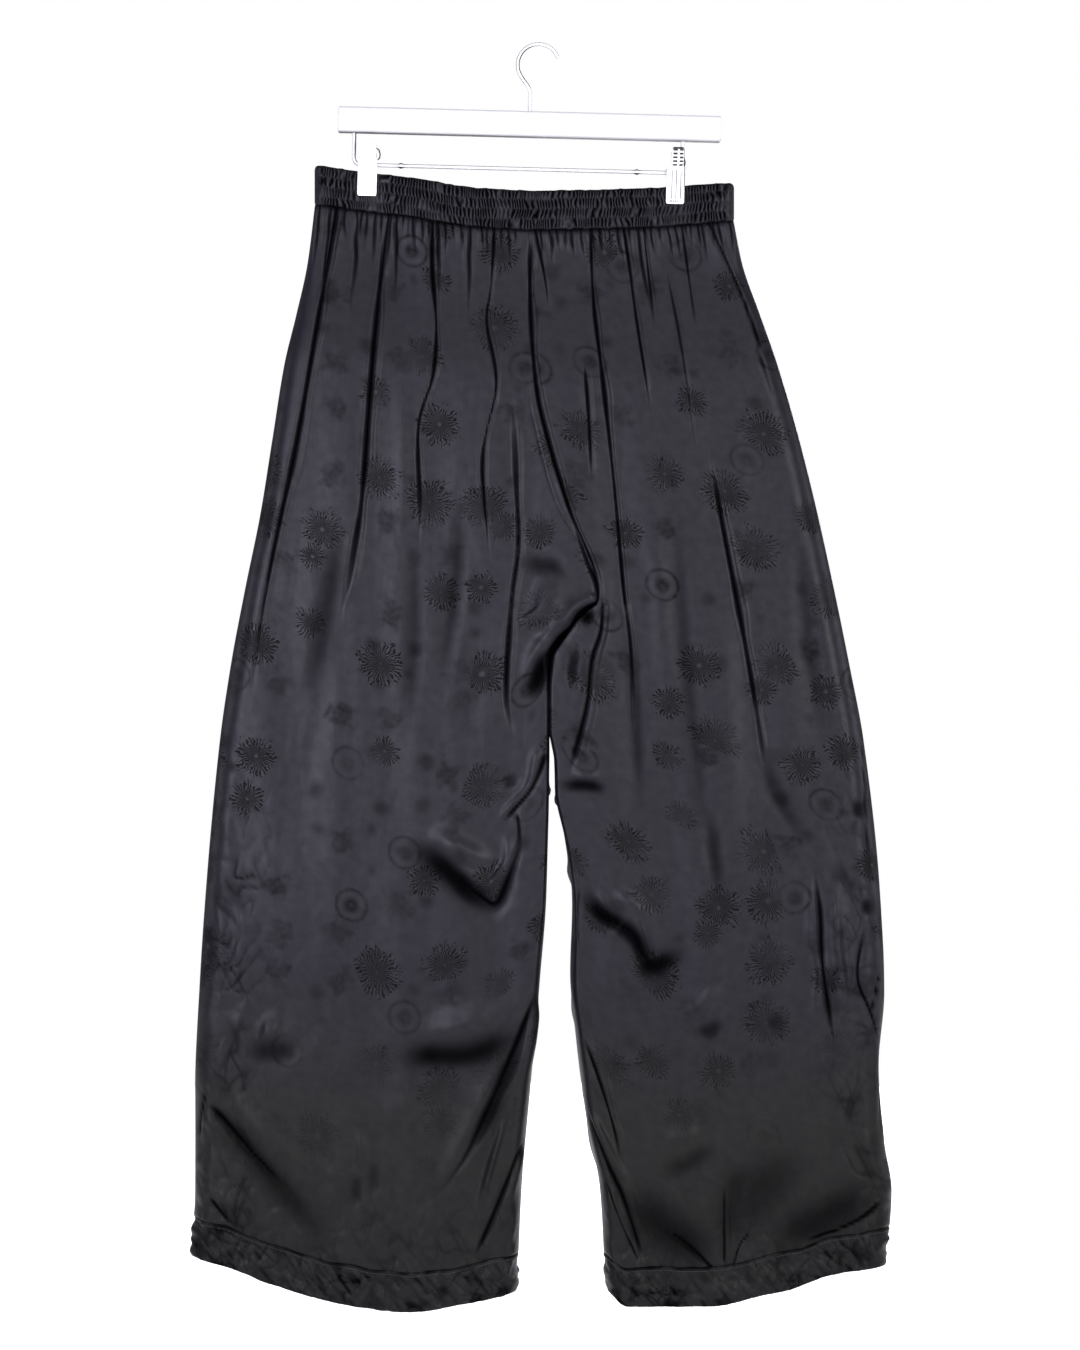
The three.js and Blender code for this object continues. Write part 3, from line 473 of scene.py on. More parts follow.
FRONT_PULLS = [
    Fold(5, 2.4, 0.1, 0.2, (7, -648), (0, -668), (-8, -684), (-20, -698), (-34, -714), lap=-1),
    Fold(3, 2.4, 0.1, 0.4, (-20, -705), (-18, -725), (-20, -740)),
    hollow(3, 7, 0.4, (-24, -682), (-30, -668)),
    Fold(8, 5.6, 0.4, 0.3, (-126, -728), (-100, -741), (-77, -761), (-54, -780), (-39, -787), (-28, -764),
        (-18, -734), (-20, -711), lap=1),
    hollow(3, 10, 0.85, (-124, -728), (-88, -754), (-58, -782), (-30, -796)),
    ridge(6, 10, (-100, -718), (-66, -740), (-34, -752)),
    Fold(2.5, 9, 0.3, 0.4, (-180, -440), (-190, -500), (-200, -560), (-214, -620), soft=True, dark=0.35),
    hollow(1.8, 7, 0.3, (-76, -400), (-72, -450), (-78, -516), (-90, -601)),
    ridge(5, 14, (-116, -908), (-68, -898), (-20, -878)),
    Fold(3, 11, 0.3, 0.35, (-136, -930), (-100, -926), (-60, -924), (-10, -902), soft=True, dark=0.74),
    Fold(7, 4.6, 0.12, 0.45, (-2, -866), (-24, -922), (-47, -976), (-70, -1022), (-100, -1060), lap=1),
    hollow(3, 7, 0.5, (-12, -905), (-40, -968), (-66, -1022)),
    Fold(5, 3.2, 0.15, 0.2, (-12, -1003), (-28, -1037), (-47, -1083), (-60, -1112), lap=1),
    ridge(5, 3, (-24, -960), (-42, -1020), (-58, -1080)),
    Fold(6, 3.8, 0.12, 0.5, (-304, -968), (-288, -983), (-265, -1010), (-244, -1032),
        (-212, -1072), lap=-1),
    hollow(3, 11, 0.42, (-316, -956), (-270, -1006), (-228, -1056), (-180, -1112)),
    ridge(3, 11, (-290, -950), (-244, -1004), (-190, -1064)),
    ridge(4, 12, (-12, -900), (-44, -960), (-78, -1024), (-104, -1066)),
    Fold(3, 2.4, 0.2, 0.3, (-304, -956), (-311, -985), (-313, -1006)),
    Fold(3.5, 2.6, 0.2, 0.3, (-301, -1054), (-290, -1068), (-280, -1080), lap=1),
    hollow(2.5, 5, 0.3, (-166, -1030), (-168, -1066)),
    hollow(2.5, 5, 0.25, (-150, -1020), (-152, -1058)),
    ridge(2.5, 5, (-163, -990), (-160, -1040)),
    ridge(3.5, 11, (-256, -902), (-236, -906)),
    hollow(2.5, 10, 0.45, (-272, -925), (-246, -922), (-216, -923)),
    Fold(8, 4.2, 0.15, 0.25, (43, -782), (58, -800), (74, -807), (86, -815), (93, -833), (104, -842),
        (123, -836), lap=1),
    Fold(3, 7, 0.65, 0.2, (34, -770), (56, -794), (80, -809), soft=True, dark=0.85),
    Fold(3, 8, 0.2, 0.2, (70, -804), (88, -820), (100, -842), soft=True, dark=0.75),
    Fold(3.5, 9, 0.25, 0.6, (86, -838), (106, -843), (140, -828), soft=True, dark=0.85),
    ridge(4, 8, (64, -782), (84, -786), (98, -806)),
    Fold(2.5, 1.8, 0.2, 0.3, (37, -769), (35, -803), (37, -830)),
    Fold(4.5, 2.4, 0.2, 0.3, (40, -907), (54, -945), (68, -991), (75, -1026), lap=1),
    Fold(6, 3.4, 0.15, 0.15, (43, -972), (58, -1014), (77, -1056), (95, -1112), lap=1),
    Fold(4, 2.4, 0.2, 0.2, (58, -1037), (77, -1083), (92, -1116)),
    Fold(3, 2.4, 0.3, 0.1, (169, -1037), (169, -1118), lap=1),
    hollow(2.5, 15, 0.34, (190, -1010), (178, -1060), (170, -1116)),
    Fold(6, 3.0, 0.25, 0.3, (250, -754), (256, -792), (258, -838), (265, -891), (270, -922), lap=-1),
    ridge(3, 4, (270, -760), (273, -830), (284, -907)),
    Fold(5, 2.8, 0.2, 0.25, (298, -800), (290, -853), (303, -888), (311, -930), (311, -1006), lap=-1),
    Fold(3.5, 2.4, 0.2, 0.3, (310, -850), (303, -888)),
    Fold(2, 1.6, 0.1, 0.1, (294, -622), (298, -701), (300, -760)),
    hollow(3, 20, 0.5, (70, -1040), (104, -1074), (140, -1102), (166, -1128)),
    Fold(2.5, 2.2, 0.3, 0.2, (98, -1078), (126, -1092), (150, -1113), lap=-1),
    hollow(3, 22, 0.34, (244, -1002), (212, -1040), (184, -1076), (168, -1108)),
    hollow(3, 18, 0.5, (318, -1036), (276, -1066), (238, -1084), (196, -1098)),
    Fold(4, 4.6, 0.15, 0.3, (318, -1056), (290, -1076), (258, -1090), (232, -1096), lap=-1),
    ridge(3, 9, (100, -1044), (130, -1066), (150, -1090)),
    Fold(4, 3.4, 0.3, 0.1, (112, -1082), (138, -1100), (160, -1122), lap=-1),
    Fold(3, 3.2, 0.3, 0.1, (196, -1082), (184, -1098), (176, -1120)),
    ridge(3, 12, (222, -1004), (190, -1042)),
    ridge(1.6, 13, (146, -868), (164, -880)),
    hollow(3, 7, 0.5, (143, -896), (155, -904), (168, -892)),
    hollow(2.5, 8, 0.3, (206, -902), (226, -892)),
    hollow(2.5, 9, 0.35, (104, -1024), (127, -1029), (166, -1006)),
    ridge(3, 9, (112, -1004), (150, -998)),
    hollow(2.5, 7, 0.4, (155, -695), (160, -742), (166, -792)),
    hollow(2.5, 8, 0.35, (204, -638), (215, -684), (246, -738)),
    hollow(2, 6, 0.6, (290, -690), (292, -712)),
    hollow(2, 6, 0.6, (298, -780), (300, -800)),
]


def crumple(x, z, size, seed):
    """A net of crisp creases: 1 where soft unevenness changes sign, and 0 away from there."""
    return np.exp(-5 * abs(waver(x, z, size, seed)))


def folds_at(folds, x, z):
    """Height of the cloth over its smooth section from a list of folds, and the painted shade in them."""
    height = np.zeros(x.shape)
    shade = np.zeros(x.shape)
    for fold in folds:
        away, side, along = fold.reach(x, z)
        strength = 1 - ease(along, 1 - fold.fade_out, 1)
        if fold.fade_in:
            strength = strength * ease(along, 0, fold.fade_in)
        if fold.soft:
            dip = strength * np.exp(-((away / fold.width) ** 2))
            height -= fold.depth * dip
            shade = np.maximum(shade, fold.dark * dip)
            continue
        uneven = 0.8 + 0.4 * waver(x, z, (40, 33), 61)
        narrow = (0.7 if fold.lap else 0.36) * uneven
        t = np.hypot(away, 1.3 if fold.lap else 0.4) / (narrow * fold.width)
        crest = np.where(side == (fold.lap or 1), 0.5 if fold.lap else 0.3, 0 if fold.lap else 0.06)
        profile = crest * np.exp(-(((t - 3.5) / 2.4) ** 2)) - np.exp(-t)
        height += fold.depth * strength * profile
        spread = (1.1 + 0.26 * fold.width if fold.lap else 0.6 + 0.18 * fold.width) * uneven
        # painted shade along a crease's valley
        shade = np.maximum(shade, min(fold.depth / 3.6, 1) * strength * np.exp(-((away / spread) ** 2)))
    return height, shade


GATHERS_START, GATHERS_END = 6.0, 205  # along the waist seam, from the side
SEAM_LENGTH = 210
PUCKER_PITCH = 6.4


def gathers_at(seed, across, width, below):
    """Short creases that fall from the waist seam, and the puckers right under it, with painted shade in
    the creases.
    """
    random = np.random.default_rng(seed)
    height = np.zeros(np.broadcast(across, below).shape)
    shade = np.zeros(height.shape)
    place = GATHERS_START
    while place < GATHERS_END:
        long = random.uniform(12, 38) if random.uniform() < 0.76 else random.uniform(50, 110)
        depth = random.uniform(1.2, 2.2) + 0.012 * long
        crease = random.uniform(0.7, 1.15)
        drift = random.uniform(-0.05, 0.05)
        bend = 1.4 * waver(below, place, (16, 1), seed)
        t = abs((across - place / SEAM_LENGTH) * width - drift * below - bend) / crease
        strength = 1 - ease(below, 0.3 * long, long)
        height += 0.8 * depth * strength * (0.3 * np.exp(-(((t - 3) / 1.8) ** 2)) - np.exp(-t))
        shade = np.maximum(shade, 0.75 * strength * np.exp(-t * t))
        place += random.uniform(4.5, 11)
    phase = 2.5 * waver(across * width, below, (19, 30), seed)
    pucker = np.sin(across * width / PUCKER_PITCH * 2 * math.pi + phase)
    return height + 0.55 * pucker * (1 - ease(below, 2, 20)), shade


# Unevenness of a hanging leg: how high, how far it leans, its size across and down, how far below the
# waist seam it starts and is full, and the number of its random draw.
WAVES = [
    (1.3, 0.06, (28, 230), (60, 300), 20),
    (0.12, 0.05, (12, 160), (8, 60), 30),
    (0.28, -0.03, (22, 150), (20, 90), 35),
    (0.08, -0.1, (5, 14), (8, 60), 50),
    (1.5, 0, (70, 60), (420, 760), 40),
    (0.6, -0.3, (19, 30), (450, 800), 60),
]
SIDE_PUCKER = {"left": 1.2, "right": 0.8}  # along the side seam of the lower leg
SEAM_DIP = 0.8
CROTCH_REACH = 80  # folds that come this near the middle line cross to both legs


def crosses(fold, side):
    """Whether a fold reaches a leg."""
    x = fold.path[:, 0]
    return (x.min() < 70) == (side == "left") or abs(x).min() < CROTCH_REACH


def leg_skin(side, face, turn, at, past, down):
    """A leg's smooth skin, the height of its folds over that, and the painted shade in them."""
    leg = LEGS[side]
    smooth_skin, roundness, deep, across = leg_section(leg, face, turn, at, past, down, SEAM)
    x, z = smooth_skin[..., 0], smooth_skin[..., 2]
    if face < 0:
        folds = FRONT_FALLS + FRONT_PULLS + CROTCH_PULLS
    else:
        outer = [fold for fold in FRONT_FALLS if abs(fold.path[-1, 0]) > 60]
        folds = [fold.mirrored() for fold in outer + FRONT_PULLS] + CROTCH_PULLS[1:]
    height, shade = folds_at([fold for fold in folds if crosses(fold, side)], x, z)
    below = leg["waist_seam"](across) - z
    width = abs(leg["inner"](z) - leg["side"](z))
    gathers, gather_shade = gathers_at(7 + 2 * (side == "left") + 5 * (face > 0), across, width, below)
    from_seam = 1 - ease(across, 0.96, 1)
    height += gathers * from_seam
    shade = np.maximum(shade, gather_shade * from_seam)
    seed = 13 + 5 * (face > 0)
    for high, lean, size, (starts, full), number in WAVES:
        height += high * ease(below, starts, full) * waver(x + lean * z, z, size, seed + number)
    puckered = np.exp(-(((across - 0.1) / 0.09) ** 2)) * ease(below, 430, 640) * SIDE_PUCKER[side]
    height += 0.8 * puckered * waver(x + 0.3 * z, z, (10, 24), seed + 70)
    near_hem = ease(down, 0.84, HEM_SHARE)
    large, small = waver(x + 0.4 * z, z, (14, 24), seed + 80), waver(x - z, z, (8, 11), seed + 90)
    height += near_hem * (1.8 * large + 0.6 * small)
    crushed = np.maximum(puckered, near_hem * (0.6 + 0.4 * waver(x, z, (60, 40), seed + 85)))
    creases = crumple(x + 0.5 * z, z, (11, 24), seed + 71)
    creases = np.maximum(creases, crumple(x - 0.4 * z, z, (9, 20), seed + 72))
    height -= (0.7 * puckered + 1.2 * near_hem) * creases
    # painted shade in the small creases of the crushed cloth at the side seams and near the hem
    patchy = np.clip(0.5 + waver(x, z, (24, 24), seed + 73), 0, 1)
    shade = np.maximum(shade, 0.5 * crushed * creases**2 * patchy)
    height *= mix(0.3, 1, ease(below, 0, 12))
    height -= SEAM_DIP * np.exp(-((below / 1.2) ** 2))
    room = np.maximum(deep * roundness - 1.4, 0) * 0.85
    flat = ease(roundness, 0.05, 0.7)
    height = np.maximum(height * flat, -room)
    return smooth_skin, height, shade * flat


CLOTH = 0.8
PANEL_GRID = {-1: (229, 309), 1: (157, 213)}  # flat columns and rows, front and back
UPPER_ROWS = 0.21  # share of the rows that lie in the upper part of the leg
UPPER_PART = 0.32
FIRST_ROW = 0.0004  # just below the waist seam, as a share of the leg's length
ROUND_COLUMNS = 12  # that turn the cloth round a side or an inseam
HEM_WIDTH = 300


def panel_columns(flat_columns):
    """Where each column of a panel's grid lies, as turn, at and past of leg_section."""
    quarter = np.arange(ROUND_COLUMNS) / ROUND_COLUMNS
    flat = np.linspace(0, 1, flat_columns)
    turn = np.concatenate([quarter, np.ones(flat_columns + ROUND_COLUMNS)])
    at = np.concatenate([np.zeros(ROUND_COLUMNS), flat, np.ones(ROUND_COLUMNS)])
    past = np.concatenate([np.zeros(ROUND_COLUMNS + flat_columns), quarter + 1 / ROUND_COLUMNS])
    return turn[:, None], at[:, None], past[:, None]


def hem_line(side, at):
    """How far down the hem's stitched top edge lies. It wanders a little, as the cloth puckers along it."""
    return HEM_SHARE + 0.0022 * waver(HEM_WIDTH * at, 0, (21, 1), 31 if side == "left" else 37)


def lowest_near(height):
    """The lowest height at each point and its neighbours, to keep the coarse inside under the outside."""
    wide = np.pad(height, 1, mode="edge")
    columns, rows = height.shape
    return np.min([wide[i : i + columns, j : j + rows] for i in range(3) for j in range(3)], axis=0)


def cut_place(skin, start):
    """Each point's place on the flat cut, in metres, from its way across and down the smooth skin."""
    across = np.linalg.norm(np.diff(skin, axis=0), axis=-1)
    down = np.linalg.norm(np.diff(skin, axis=1), axis=-1)
    u = np.concatenate([np.zeros((1, skin.shape[1])), np.cumsum(across, axis=0)])
    u -= u[u.shape[0] // 2]
    v = np.concatenate([np.zeros((skin.shape[0], 1)), np.cumsum(down, axis=1)], axis=1)
    middle = skin[skin.shape[0] // 2, :, 0]
    return np.stack([u + middle + start[0], v + start[1]], axis=-1) * MM


# The pattern's sizes, in metres on the cloth.
BURST_SPACING = 0.054
BURST_RADIUS = 0.0235
RING_RADIUS = 0.0142
SPOT_SPACING = 0.046


def jacquard_satin(name, motif_strength):
    """Black satin with a woven pattern. Its long floats give a soft sheen, and the pattern's own weave is
    duller, so bursts of strokes, ringed dots, blots and spots show darker on the ground. Folds get painted
    shade from the piece's shade attribute, and the sheen is painted weaker towards the hems."""
    material, tree = new_material(name)
    # Map Range reads the range at sockets 1 and 2 and gives that at 3 and 4; Mix has its colours at 6 and 7
    place = node(tree, "UVMap", uv_map="flat cut")
    down = node(tree, "SeparateXYZ", {0: place}).outputs[1]
    shade = node(tree, "Attribute", attribute_name="shade").outputs["Fac"]
    # bursts of strokes, in about half of the cells of a loose grid
    cells = node(
        tree,
        "TexVoronoi",
        {"Vector": place, "Scale": 1 / BURST_SPACING, "Randomness": 0.85},
        voronoi_dimensions="2D",
    )
    away = node(tree, "VectorMath", {0: place, 1: cells.outputs["Position"]}, operation="SUBTRACT")
    parts = node(tree, "SeparateXYZ", {0: away})
    radius = node(tree, "VectorMath", {0: away}, operation="LENGTH").outputs["Value"]
    angle = node(tree, "Math", {0: parts.outputs[1], 1: parts.outputs[0]}, operation="ARCTAN2")
    chance = node(tree, "SeparateColor", {0: cells.outputs["Color"]})
    frayed = node(tree, "TexNoise", {"Vector": place, "Scale": 210.0, "Detail": 2.0})
    bend = node(tree, "Math", {0: frayed, 1: 17.0}, operation="MULTIPLY")
    count = node(tree, "MapRange", {0: chance.outputs[1], 3: 22.0, 4: 36.0})
    count = node(tree, "Math", {0: count}, operation="FLOOR")
    spokes = node(tree, "Math", {0: angle, 1: count, 2: bend}, operation="MULTIPLY_ADD")
    wave = node(tree, "Math", {0: spokes}, operation="SINE")
    stroke = node(tree, "MapRange", {0: wave, 1: -0.1, 2: 0.7}, interpolation_type="SMOOTHSTEP")
    size = node(tree, "MapRange", {0: chance.outputs[1], 3: 0.55 * BURST_RADIUS, 4: BURST_RADIUS})
    share = node(tree, "Math", {0: radius, 1: size}, operation="DIVIDE")
    sector = node(tree, "TexNoise", {"Vector": place, "Scale": 95.0, "Detail": 1.0})
    tip = node(tree, "Math", {0: frayed, 1: 0.7, 2: share}, operation="MULTIPLY_ADD")
    tip = node(tree, "Math", {0: sector, 1: tip}, operation="ADD")
    inside = node(tree, "MapRange", {0: tip, 1: 1.95, 2: 1.7}, interpolation_type="SMOOTHSTEP")
    heart = node(tree, "MapRange", {0: chance.outputs[2], 1: 0.5, 2: 0.9, 4: 0.09})
    beyond = node(tree, "Math", {0: share, 1: heart}, operation="SUBTRACT")
    outside = node(tree, "MapRange", {0: beyond, 2: 0.08})
    rays = node(tree, "Math", {0: stroke, 1: inside}, operation="MULTIPLY")
    rays = node(tree, "Math", {0: rays, 1: outside}, operation="MULTIPLY")
    is_burst = node(tree, "Math", {0: chance.outputs[0], 1: 0.5}, operation="LESS_THAN")
    core = node(tree, "MapRange", {0: tip, 1: 1.75, 2: 1.1, 3: 0.14, 4: 0.62})
    core = node(tree, "Math", {0: core, 1: outside}, operation="MULTIPLY")
    tinted = node(tree, "Math", {0: inside, 1: core, 2: rays}, operation="MULTIPLY_ADD")
    bursts = node(tree, "Math", {0: tinted, 1: is_burst}, operation="MULTIPLY")
    # the ground between the strokes, which gleams
    between = node(tree, "MapRange", {0: wave, 1: -0.2, 2: -0.9})
    between = node(tree, "Math", {0: between, 1: inside}, operation="MULTIPLY")
    between = node(tree, "Math", {0: between, 1: is_burst}, operation="MULTIPLY")
    # ringed dots, in the cells that have no burst
    from_ring = node(tree, "Math", {0: radius, 1: RING_RADIUS}, operation="SUBTRACT")
    from_ring = node(tree, "Math", {0: from_ring}, operation="ABSOLUTE")
    from_ring = node(tree, "MapRange", {0: from_ring, 1: 0.0026, 2: 0.0002, 4: 0.9})
    blurred = node(tree, "Math", {0: frayed, 1: 0.006, 2: radius}, operation="MULTIPLY_ADD")
    dot = node(tree, "MapRange", {0: blurred, 1: 0.0118, 2: 0.0076})
    ringed = node(tree, "Math", {0: from_ring, 1: dot}, operation="MAXIMUM")
    hatched = node(tree, "MapRange", {0: frayed, 1: 0.35, 2: 0.6, 3: 0.5})
    ringed = node(tree, "Math", {0: ringed, 1: hatched}, operation="MULTIPLY")
    is_ring = node(tree, "Math", {0: chance.outputs[0], 1: 0.84}, operation="GREATER_THAN")
    rings = node(tree, "Math", {0: ringed, 1: is_ring}, operation="MULTIPLY")
    # blots with soft edges, in the cells between those two
    spread = node(tree, "Math", {0: sector, 1: 0.03, 2: radius}, operation="MULTIPLY_ADD")
    blot = node(tree, "MapRange", {0: spread, 1: 0.031, 2: 0.019, 4: 0.75}, interpolation_type="SMOOTHSTEP")
    blot = node(tree, "Math", {0: blot, 1: hatched}, operation="MULTIPLY")
    either = node(tree, "Math", {0: is_burst, 1: is_ring}, operation="ADD")
    neither = node(tree, "Math", {0: 1.0, 1: either}, operation="SUBTRACT")
    blots = node(tree, "Math", {0: blot, 1: neither}, operation="MULTIPLY")
    # small soft spots, anywhere
    small = node(
        tree,
        "TexVoronoi",
        {"Vector": place, "Scale": 1 / SPOT_SPACING, "Randomness": 0.9},
        voronoi_dimensions="2D",
    )
    small_chance = node(tree, "SeparateColor", {0: small.outputs["Color"]})
    reach = node(tree, "MapRange", {0: small_chance.outputs[1], 3: 0.1, 4: 0.22})
    within = node(tree, "Math", {0: reach, 1: small.outputs["Distance"]}, operation="SUBTRACT")
    spot = node(tree, "MapRange", {0: within, 1: -0.03, 2: 0.12})
    is_spot = node(tree, "Math", {0: small_chance.outputs[0], 1: 0.42}, operation="GREATER_THAN")
    spots = node(tree, "Math", {0: spot, 1: is_spot}, operation="MULTIPLY")
    spots = node(tree, "Math", {0: spots, 1: 0.6}, operation="MULTIPLY")
    woven = bursts
    for motif in (rings, blots, spots):
        woven = node(tree, "Math", {0: woven, 1: motif}, operation="MAXIMUM")
    # the pattern is fainter in patches, and towards the hems
    patch = node(tree, "TexNoise", {"Vector": place, "Scale": 16.0, "Detail": 1.0})
    pattern_fade_and_painted_shadow = node(tree, "MapRange", {0: patch, 1: 0.35, 2: 0.6, 3: 0.4})
    low = node(tree, "MapRange", {0: down, 1: 0.66, 2: 0.9, 3: motif_strength, 4: 0.12 * motif_strength})
    pattern_fade_and_painted_shadow = node(tree, "Math", {0: pattern_fade_and_painted_shadow, 1: low}, operation="MULTIPLY")
    woven = node(tree, "Math", {0: woven, 1: pattern_fade_and_painted_shadow}, operation="MULTIPLY")
    # the long floats run down the cloth; they are drawn about a millimetre apart, ten times coarser
    grain = node(tree, "Mapping", {"Vector": place, "Scale": (900.0, 28.0, 1.0)})
    floats = node(tree, "TexNoise", {"Vector": grain, "Scale": 1.0, "Detail": 2.0})
    # colours: the ground is a little violet above and neutral below, a painted tint of the light; folds get
    # painted shade
    neutral = node(tree, "MapRange", {0: down, 1: 0.7, 2: 0.84})
    plain = node(
        tree, "Mix", {0: neutral, 6: linear("#100f15"), 7: linear("#0f0f11")}, data_type="RGBA"
    ).outputs[2]
    ground = node(tree, "Mix", {0: woven, 6: plain, 7: linear("#050506")}, data_type="RGBA").outputs[2]
    # painted shade: folds darken the colour towards black
    painted_shade_in_colour = node(tree, "Math", {0: shade, 1: 0.85}, operation="MULTIPLY")
    colour = node(tree, "Mix", {0: painted_shade_in_colour, 6: ground, 7: linear("#040405")}, data_type="RGBA").outputs[2]
    # roughness, and how strongly the floats reflect: less in motifs, and less in folds and towards the hems
    # as painted shade
    gloss = node(tree, "MapRange", {0: woven, 3: 0.39, 4: 0.5})
    gloss = node(tree, "Math", {0: floats, 1: 0.12, 2: gloss}, operation="MULTIPLY_ADD")
    gloss = node(tree, "Math", {0: shade, 1: 0.35, 2: gloss}, operation="MULTIPLY_ADD")
    sheen = node(tree, "MapRange", {0: down, 1: 0.6, 2: 0.98, 3: 1.0, 4: 0.62})
    mottle = node(tree, "TexNoise", {"Vector": place, "Scale": 110.0, "Detail": 4.0})
    mottle = node(tree, "MapRange", {0: mottle, 1: 0.3, 2: 0.7, 3: 0.165, 4: 0.225})
    between = node(tree, "Math", {0: between, 1: pattern_fade_and_painted_shadow}, operation="MULTIPLY")
    gleam = node(tree, "Math", {0: between, 1: 0.45, 2: 1.0}, operation="MULTIPLY_ADD")
    duller = node(tree, "MapRange", {0: woven, 3: 1.0, 4: 0.32})
    # painted shade: folds lose almost all their reflection
    painted_shade_on_sheen = node(tree, "MapRange", {0: shade, 3: 1.0, 4: 0.04})
    for share in (mottle, gleam, duller, painted_shade_on_sheen):
        sheen = node(tree, "Math", {0: sheen, 1: share}, operation="MULTIPLY")
    # the reflection's tint turns neutral lower down, a painted tint of the light
    tint = node(
        tree, "Mix", {0: neutral, 6: linear("#ffffff"), 7: linear("#fdfff0")}, data_type="RGBA"
    ).outputs[2]
    relief = node(tree, "Math", {0: woven, 1: -0.35, 2: floats}, operation="MULTIPLY_ADD")
    bump = node(tree, "Bump", {"Height": relief, "Strength": 0.18, "Distance": 0.0004})
    cloth = node(
        tree,
        "BsdfPrincipled",
        {
            "Base Color": colour,
            "Roughness": gloss,
            "Normal": bump,
            "Specular IOR Level": sheen,
            "Specular Tint": tint,
        },
    )
    # painted shade: deep in folds the cloth is mixed towards a black diffuse
    painted_fold_shadow = node(tree, "BsdfDiffuse", {"Color": linear("#020202")})
    fold = node(tree, "Math", {0: shade, 1: 0.96}, operation="MULTIPLY")
    surface = node(tree, "MixShader", {0: fold, 1: cloth, 2: painted_fold_shadow})
    node(tree, "OutputMaterial", {"Surface": surface})
    return material


satin = jacquard_satin("black jacquard satin", 1.0)
BACK_CUT = 900  # how far across the flat cloth the backs are cut, so that their pattern falls otherwise


def leg_panel(side, face):
    """One of the four panels, from the waist seam to the hem's stitching."""
    columns, rows = PANEL_GRID[face]
    turn, at, past = panel_columns(columns)
    down = np.interp(np.linspace(0, 1, rows), [0, UPPER_ROWS, 1], [FIRST_ROW, UPPER_PART, HEM_SHARE])
    down = down * hem_line(side, at) / HEM_SHARE
    smooth_skin, height, shade = leg_skin(side, face, turn, at, past, down)
    outward = normals_of(smooth_skin, (0, face, 0))
    outside = smooth_skin + outward * height[..., None]
    inside = smooth_skin + outward * (lowest_near(height) - CLOTH)[..., None]
    word = "front" if face < 0 else "back"
    uv = cut_place(smooth_skin, (BACK_CUT * (face > 0), 0))
    piece = shell(f"{word}_leg_{side}", outside, inside, uv, shade, satin)
    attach(piece, "root")
    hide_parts(f"{word}_panel_{side}")


for side in ("left", "right"):
    for face in (-1, 1):
        leg_panel(side, face)


# Hems: each leg's foot is turned up deep, pressed and machine stitched, so its wall is two layers and
# the row of stitches pulls it into small puckers.
HEM_ROWS = 21
HEM_WALL = 1.9
HEM_PULL = 1.5  # how far the stitches pull the hem up and down
HEM_CREASE = 1.5
HEM_TOP = 960  # down the flat cut


def leg_hem(side):
    """The turned-up foot of one leg, as one tube."""
    turn, at, past = panel_columns(PANEL_GRID[-1][0])
    down = mix(hem_line(side, at) + 0.00005, 1, np.linspace(0, 1, HEM_ROWS))
    skins, walls, uvs, shades = [], [], [], []
    for face in (-1, 1):
        smooth_skin, height, shade = leg_skin(side, face, turn, at, past, down)
        under = np.linspace(0, 1, HEM_ROWS)[None, :]
        x, z = smooth_skin[..., 0], smooth_skin[..., 2]
        pull = waver(x + 0.8 * z, z, (5, 13), 90 + face) + 0.8 * waver(x - 0.6 * z, z, (8, 10), 95 + face)
        calm = 1 - 0.35 * under
        height = height * calm + HEM_PULL * pull * calm * ease(under, 0, 0.12)
        height += 0.5 * np.sin(math.pi * under) - 0.5 * np.exp(-((under / 0.05) ** 2))
        height -= 0.7 * ease(under, 0.93, 1)
        net = crumple(x + 0.9 * z, z, (8, 15), 97 + face)
        net = np.maximum(net, crumple(x - 0.7 * z, z, (10, 12), 93 + face))
        height -= HEM_CREASE * net
        # painted shade in the crumpled hem: dark creases and soft dark patches
        patchy = np.clip(0.4 + waver(x, z, (22, 14), 99 + face), 0, 1)
        blots = ease(waver(x + 0.7 * z, z, (5, 11), 111 + face), 0, 0.8)
        shade = np.maximum(shade, 0.6 * net**2 * patchy + 0.45 * blots * np.clip(0.5 + patchy, 0, 1))
        # painted shade along the row of stitching
        stitched = np.exp(-((under / 0.07) ** 2)) * np.clip(waver(x, z, (12, 60), 101 + face) + 0.4, 0, 1)
        shade = np.maximum(shade, 0.8 * stitched)
        outward = normals_of(smooth_skin, (0, face, 0))
        skins.append(smooth_skin + outward * height[..., None])
        uvs.append(cut_place(smooth_skin, (BACK_CUT * (face > 0), HEM_TOP)))
        shades.append(shade)
        walls.append(smooth_skin + outward * (lowest_near(height) - HEM_WALL)[..., None])
    rings = [np.concatenate([front, back[-2:0:-1]]) for front, back in (skins, walls, uvs, shades)]
    outside, inside, uv, shade = rings
    piece = shell(f"turned_hem_{side}", outside, inside, uv, shade, satin, closed=True)
    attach(piece, "root")
    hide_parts(f"hem_{side}")
    return outside


hem_skins = {side: leg_hem(side) for side in ("left", "right")}


# Waistband: a casing of the same satin in two halves, drawn up on wide elastic. Three rows of elastic
# stitching gather it, so its small creases lean one way and then the other from row to row.
BAND_COLUMNS = 901
BAND_ROWS = 37
CREASE_PITCH = 3.3
BAND_END_ROUND = 9
END_COLUMNS = 9
STRETCHED = 1.3  # the casing's length with its elastic pulled out
BAND_OVER = 0.4  # how far the casing's foot hangs over the seam
TIER = 9.2  # height of a row of gathers
GATHER = 2.3  # how high the creases stand
BACK_LOWER = 1.5  # how far the back half's top lies below the front's
BAND_CORNER, CORNER_WIDTH = 4.5, 5.5
RIGHT_SINKS, SINKS_OVER = 1.6, 40  # the band's top falls towards its right end
gathered_satin = jacquard_satin("black jacquard satin drawn up on elastic", 0.35)


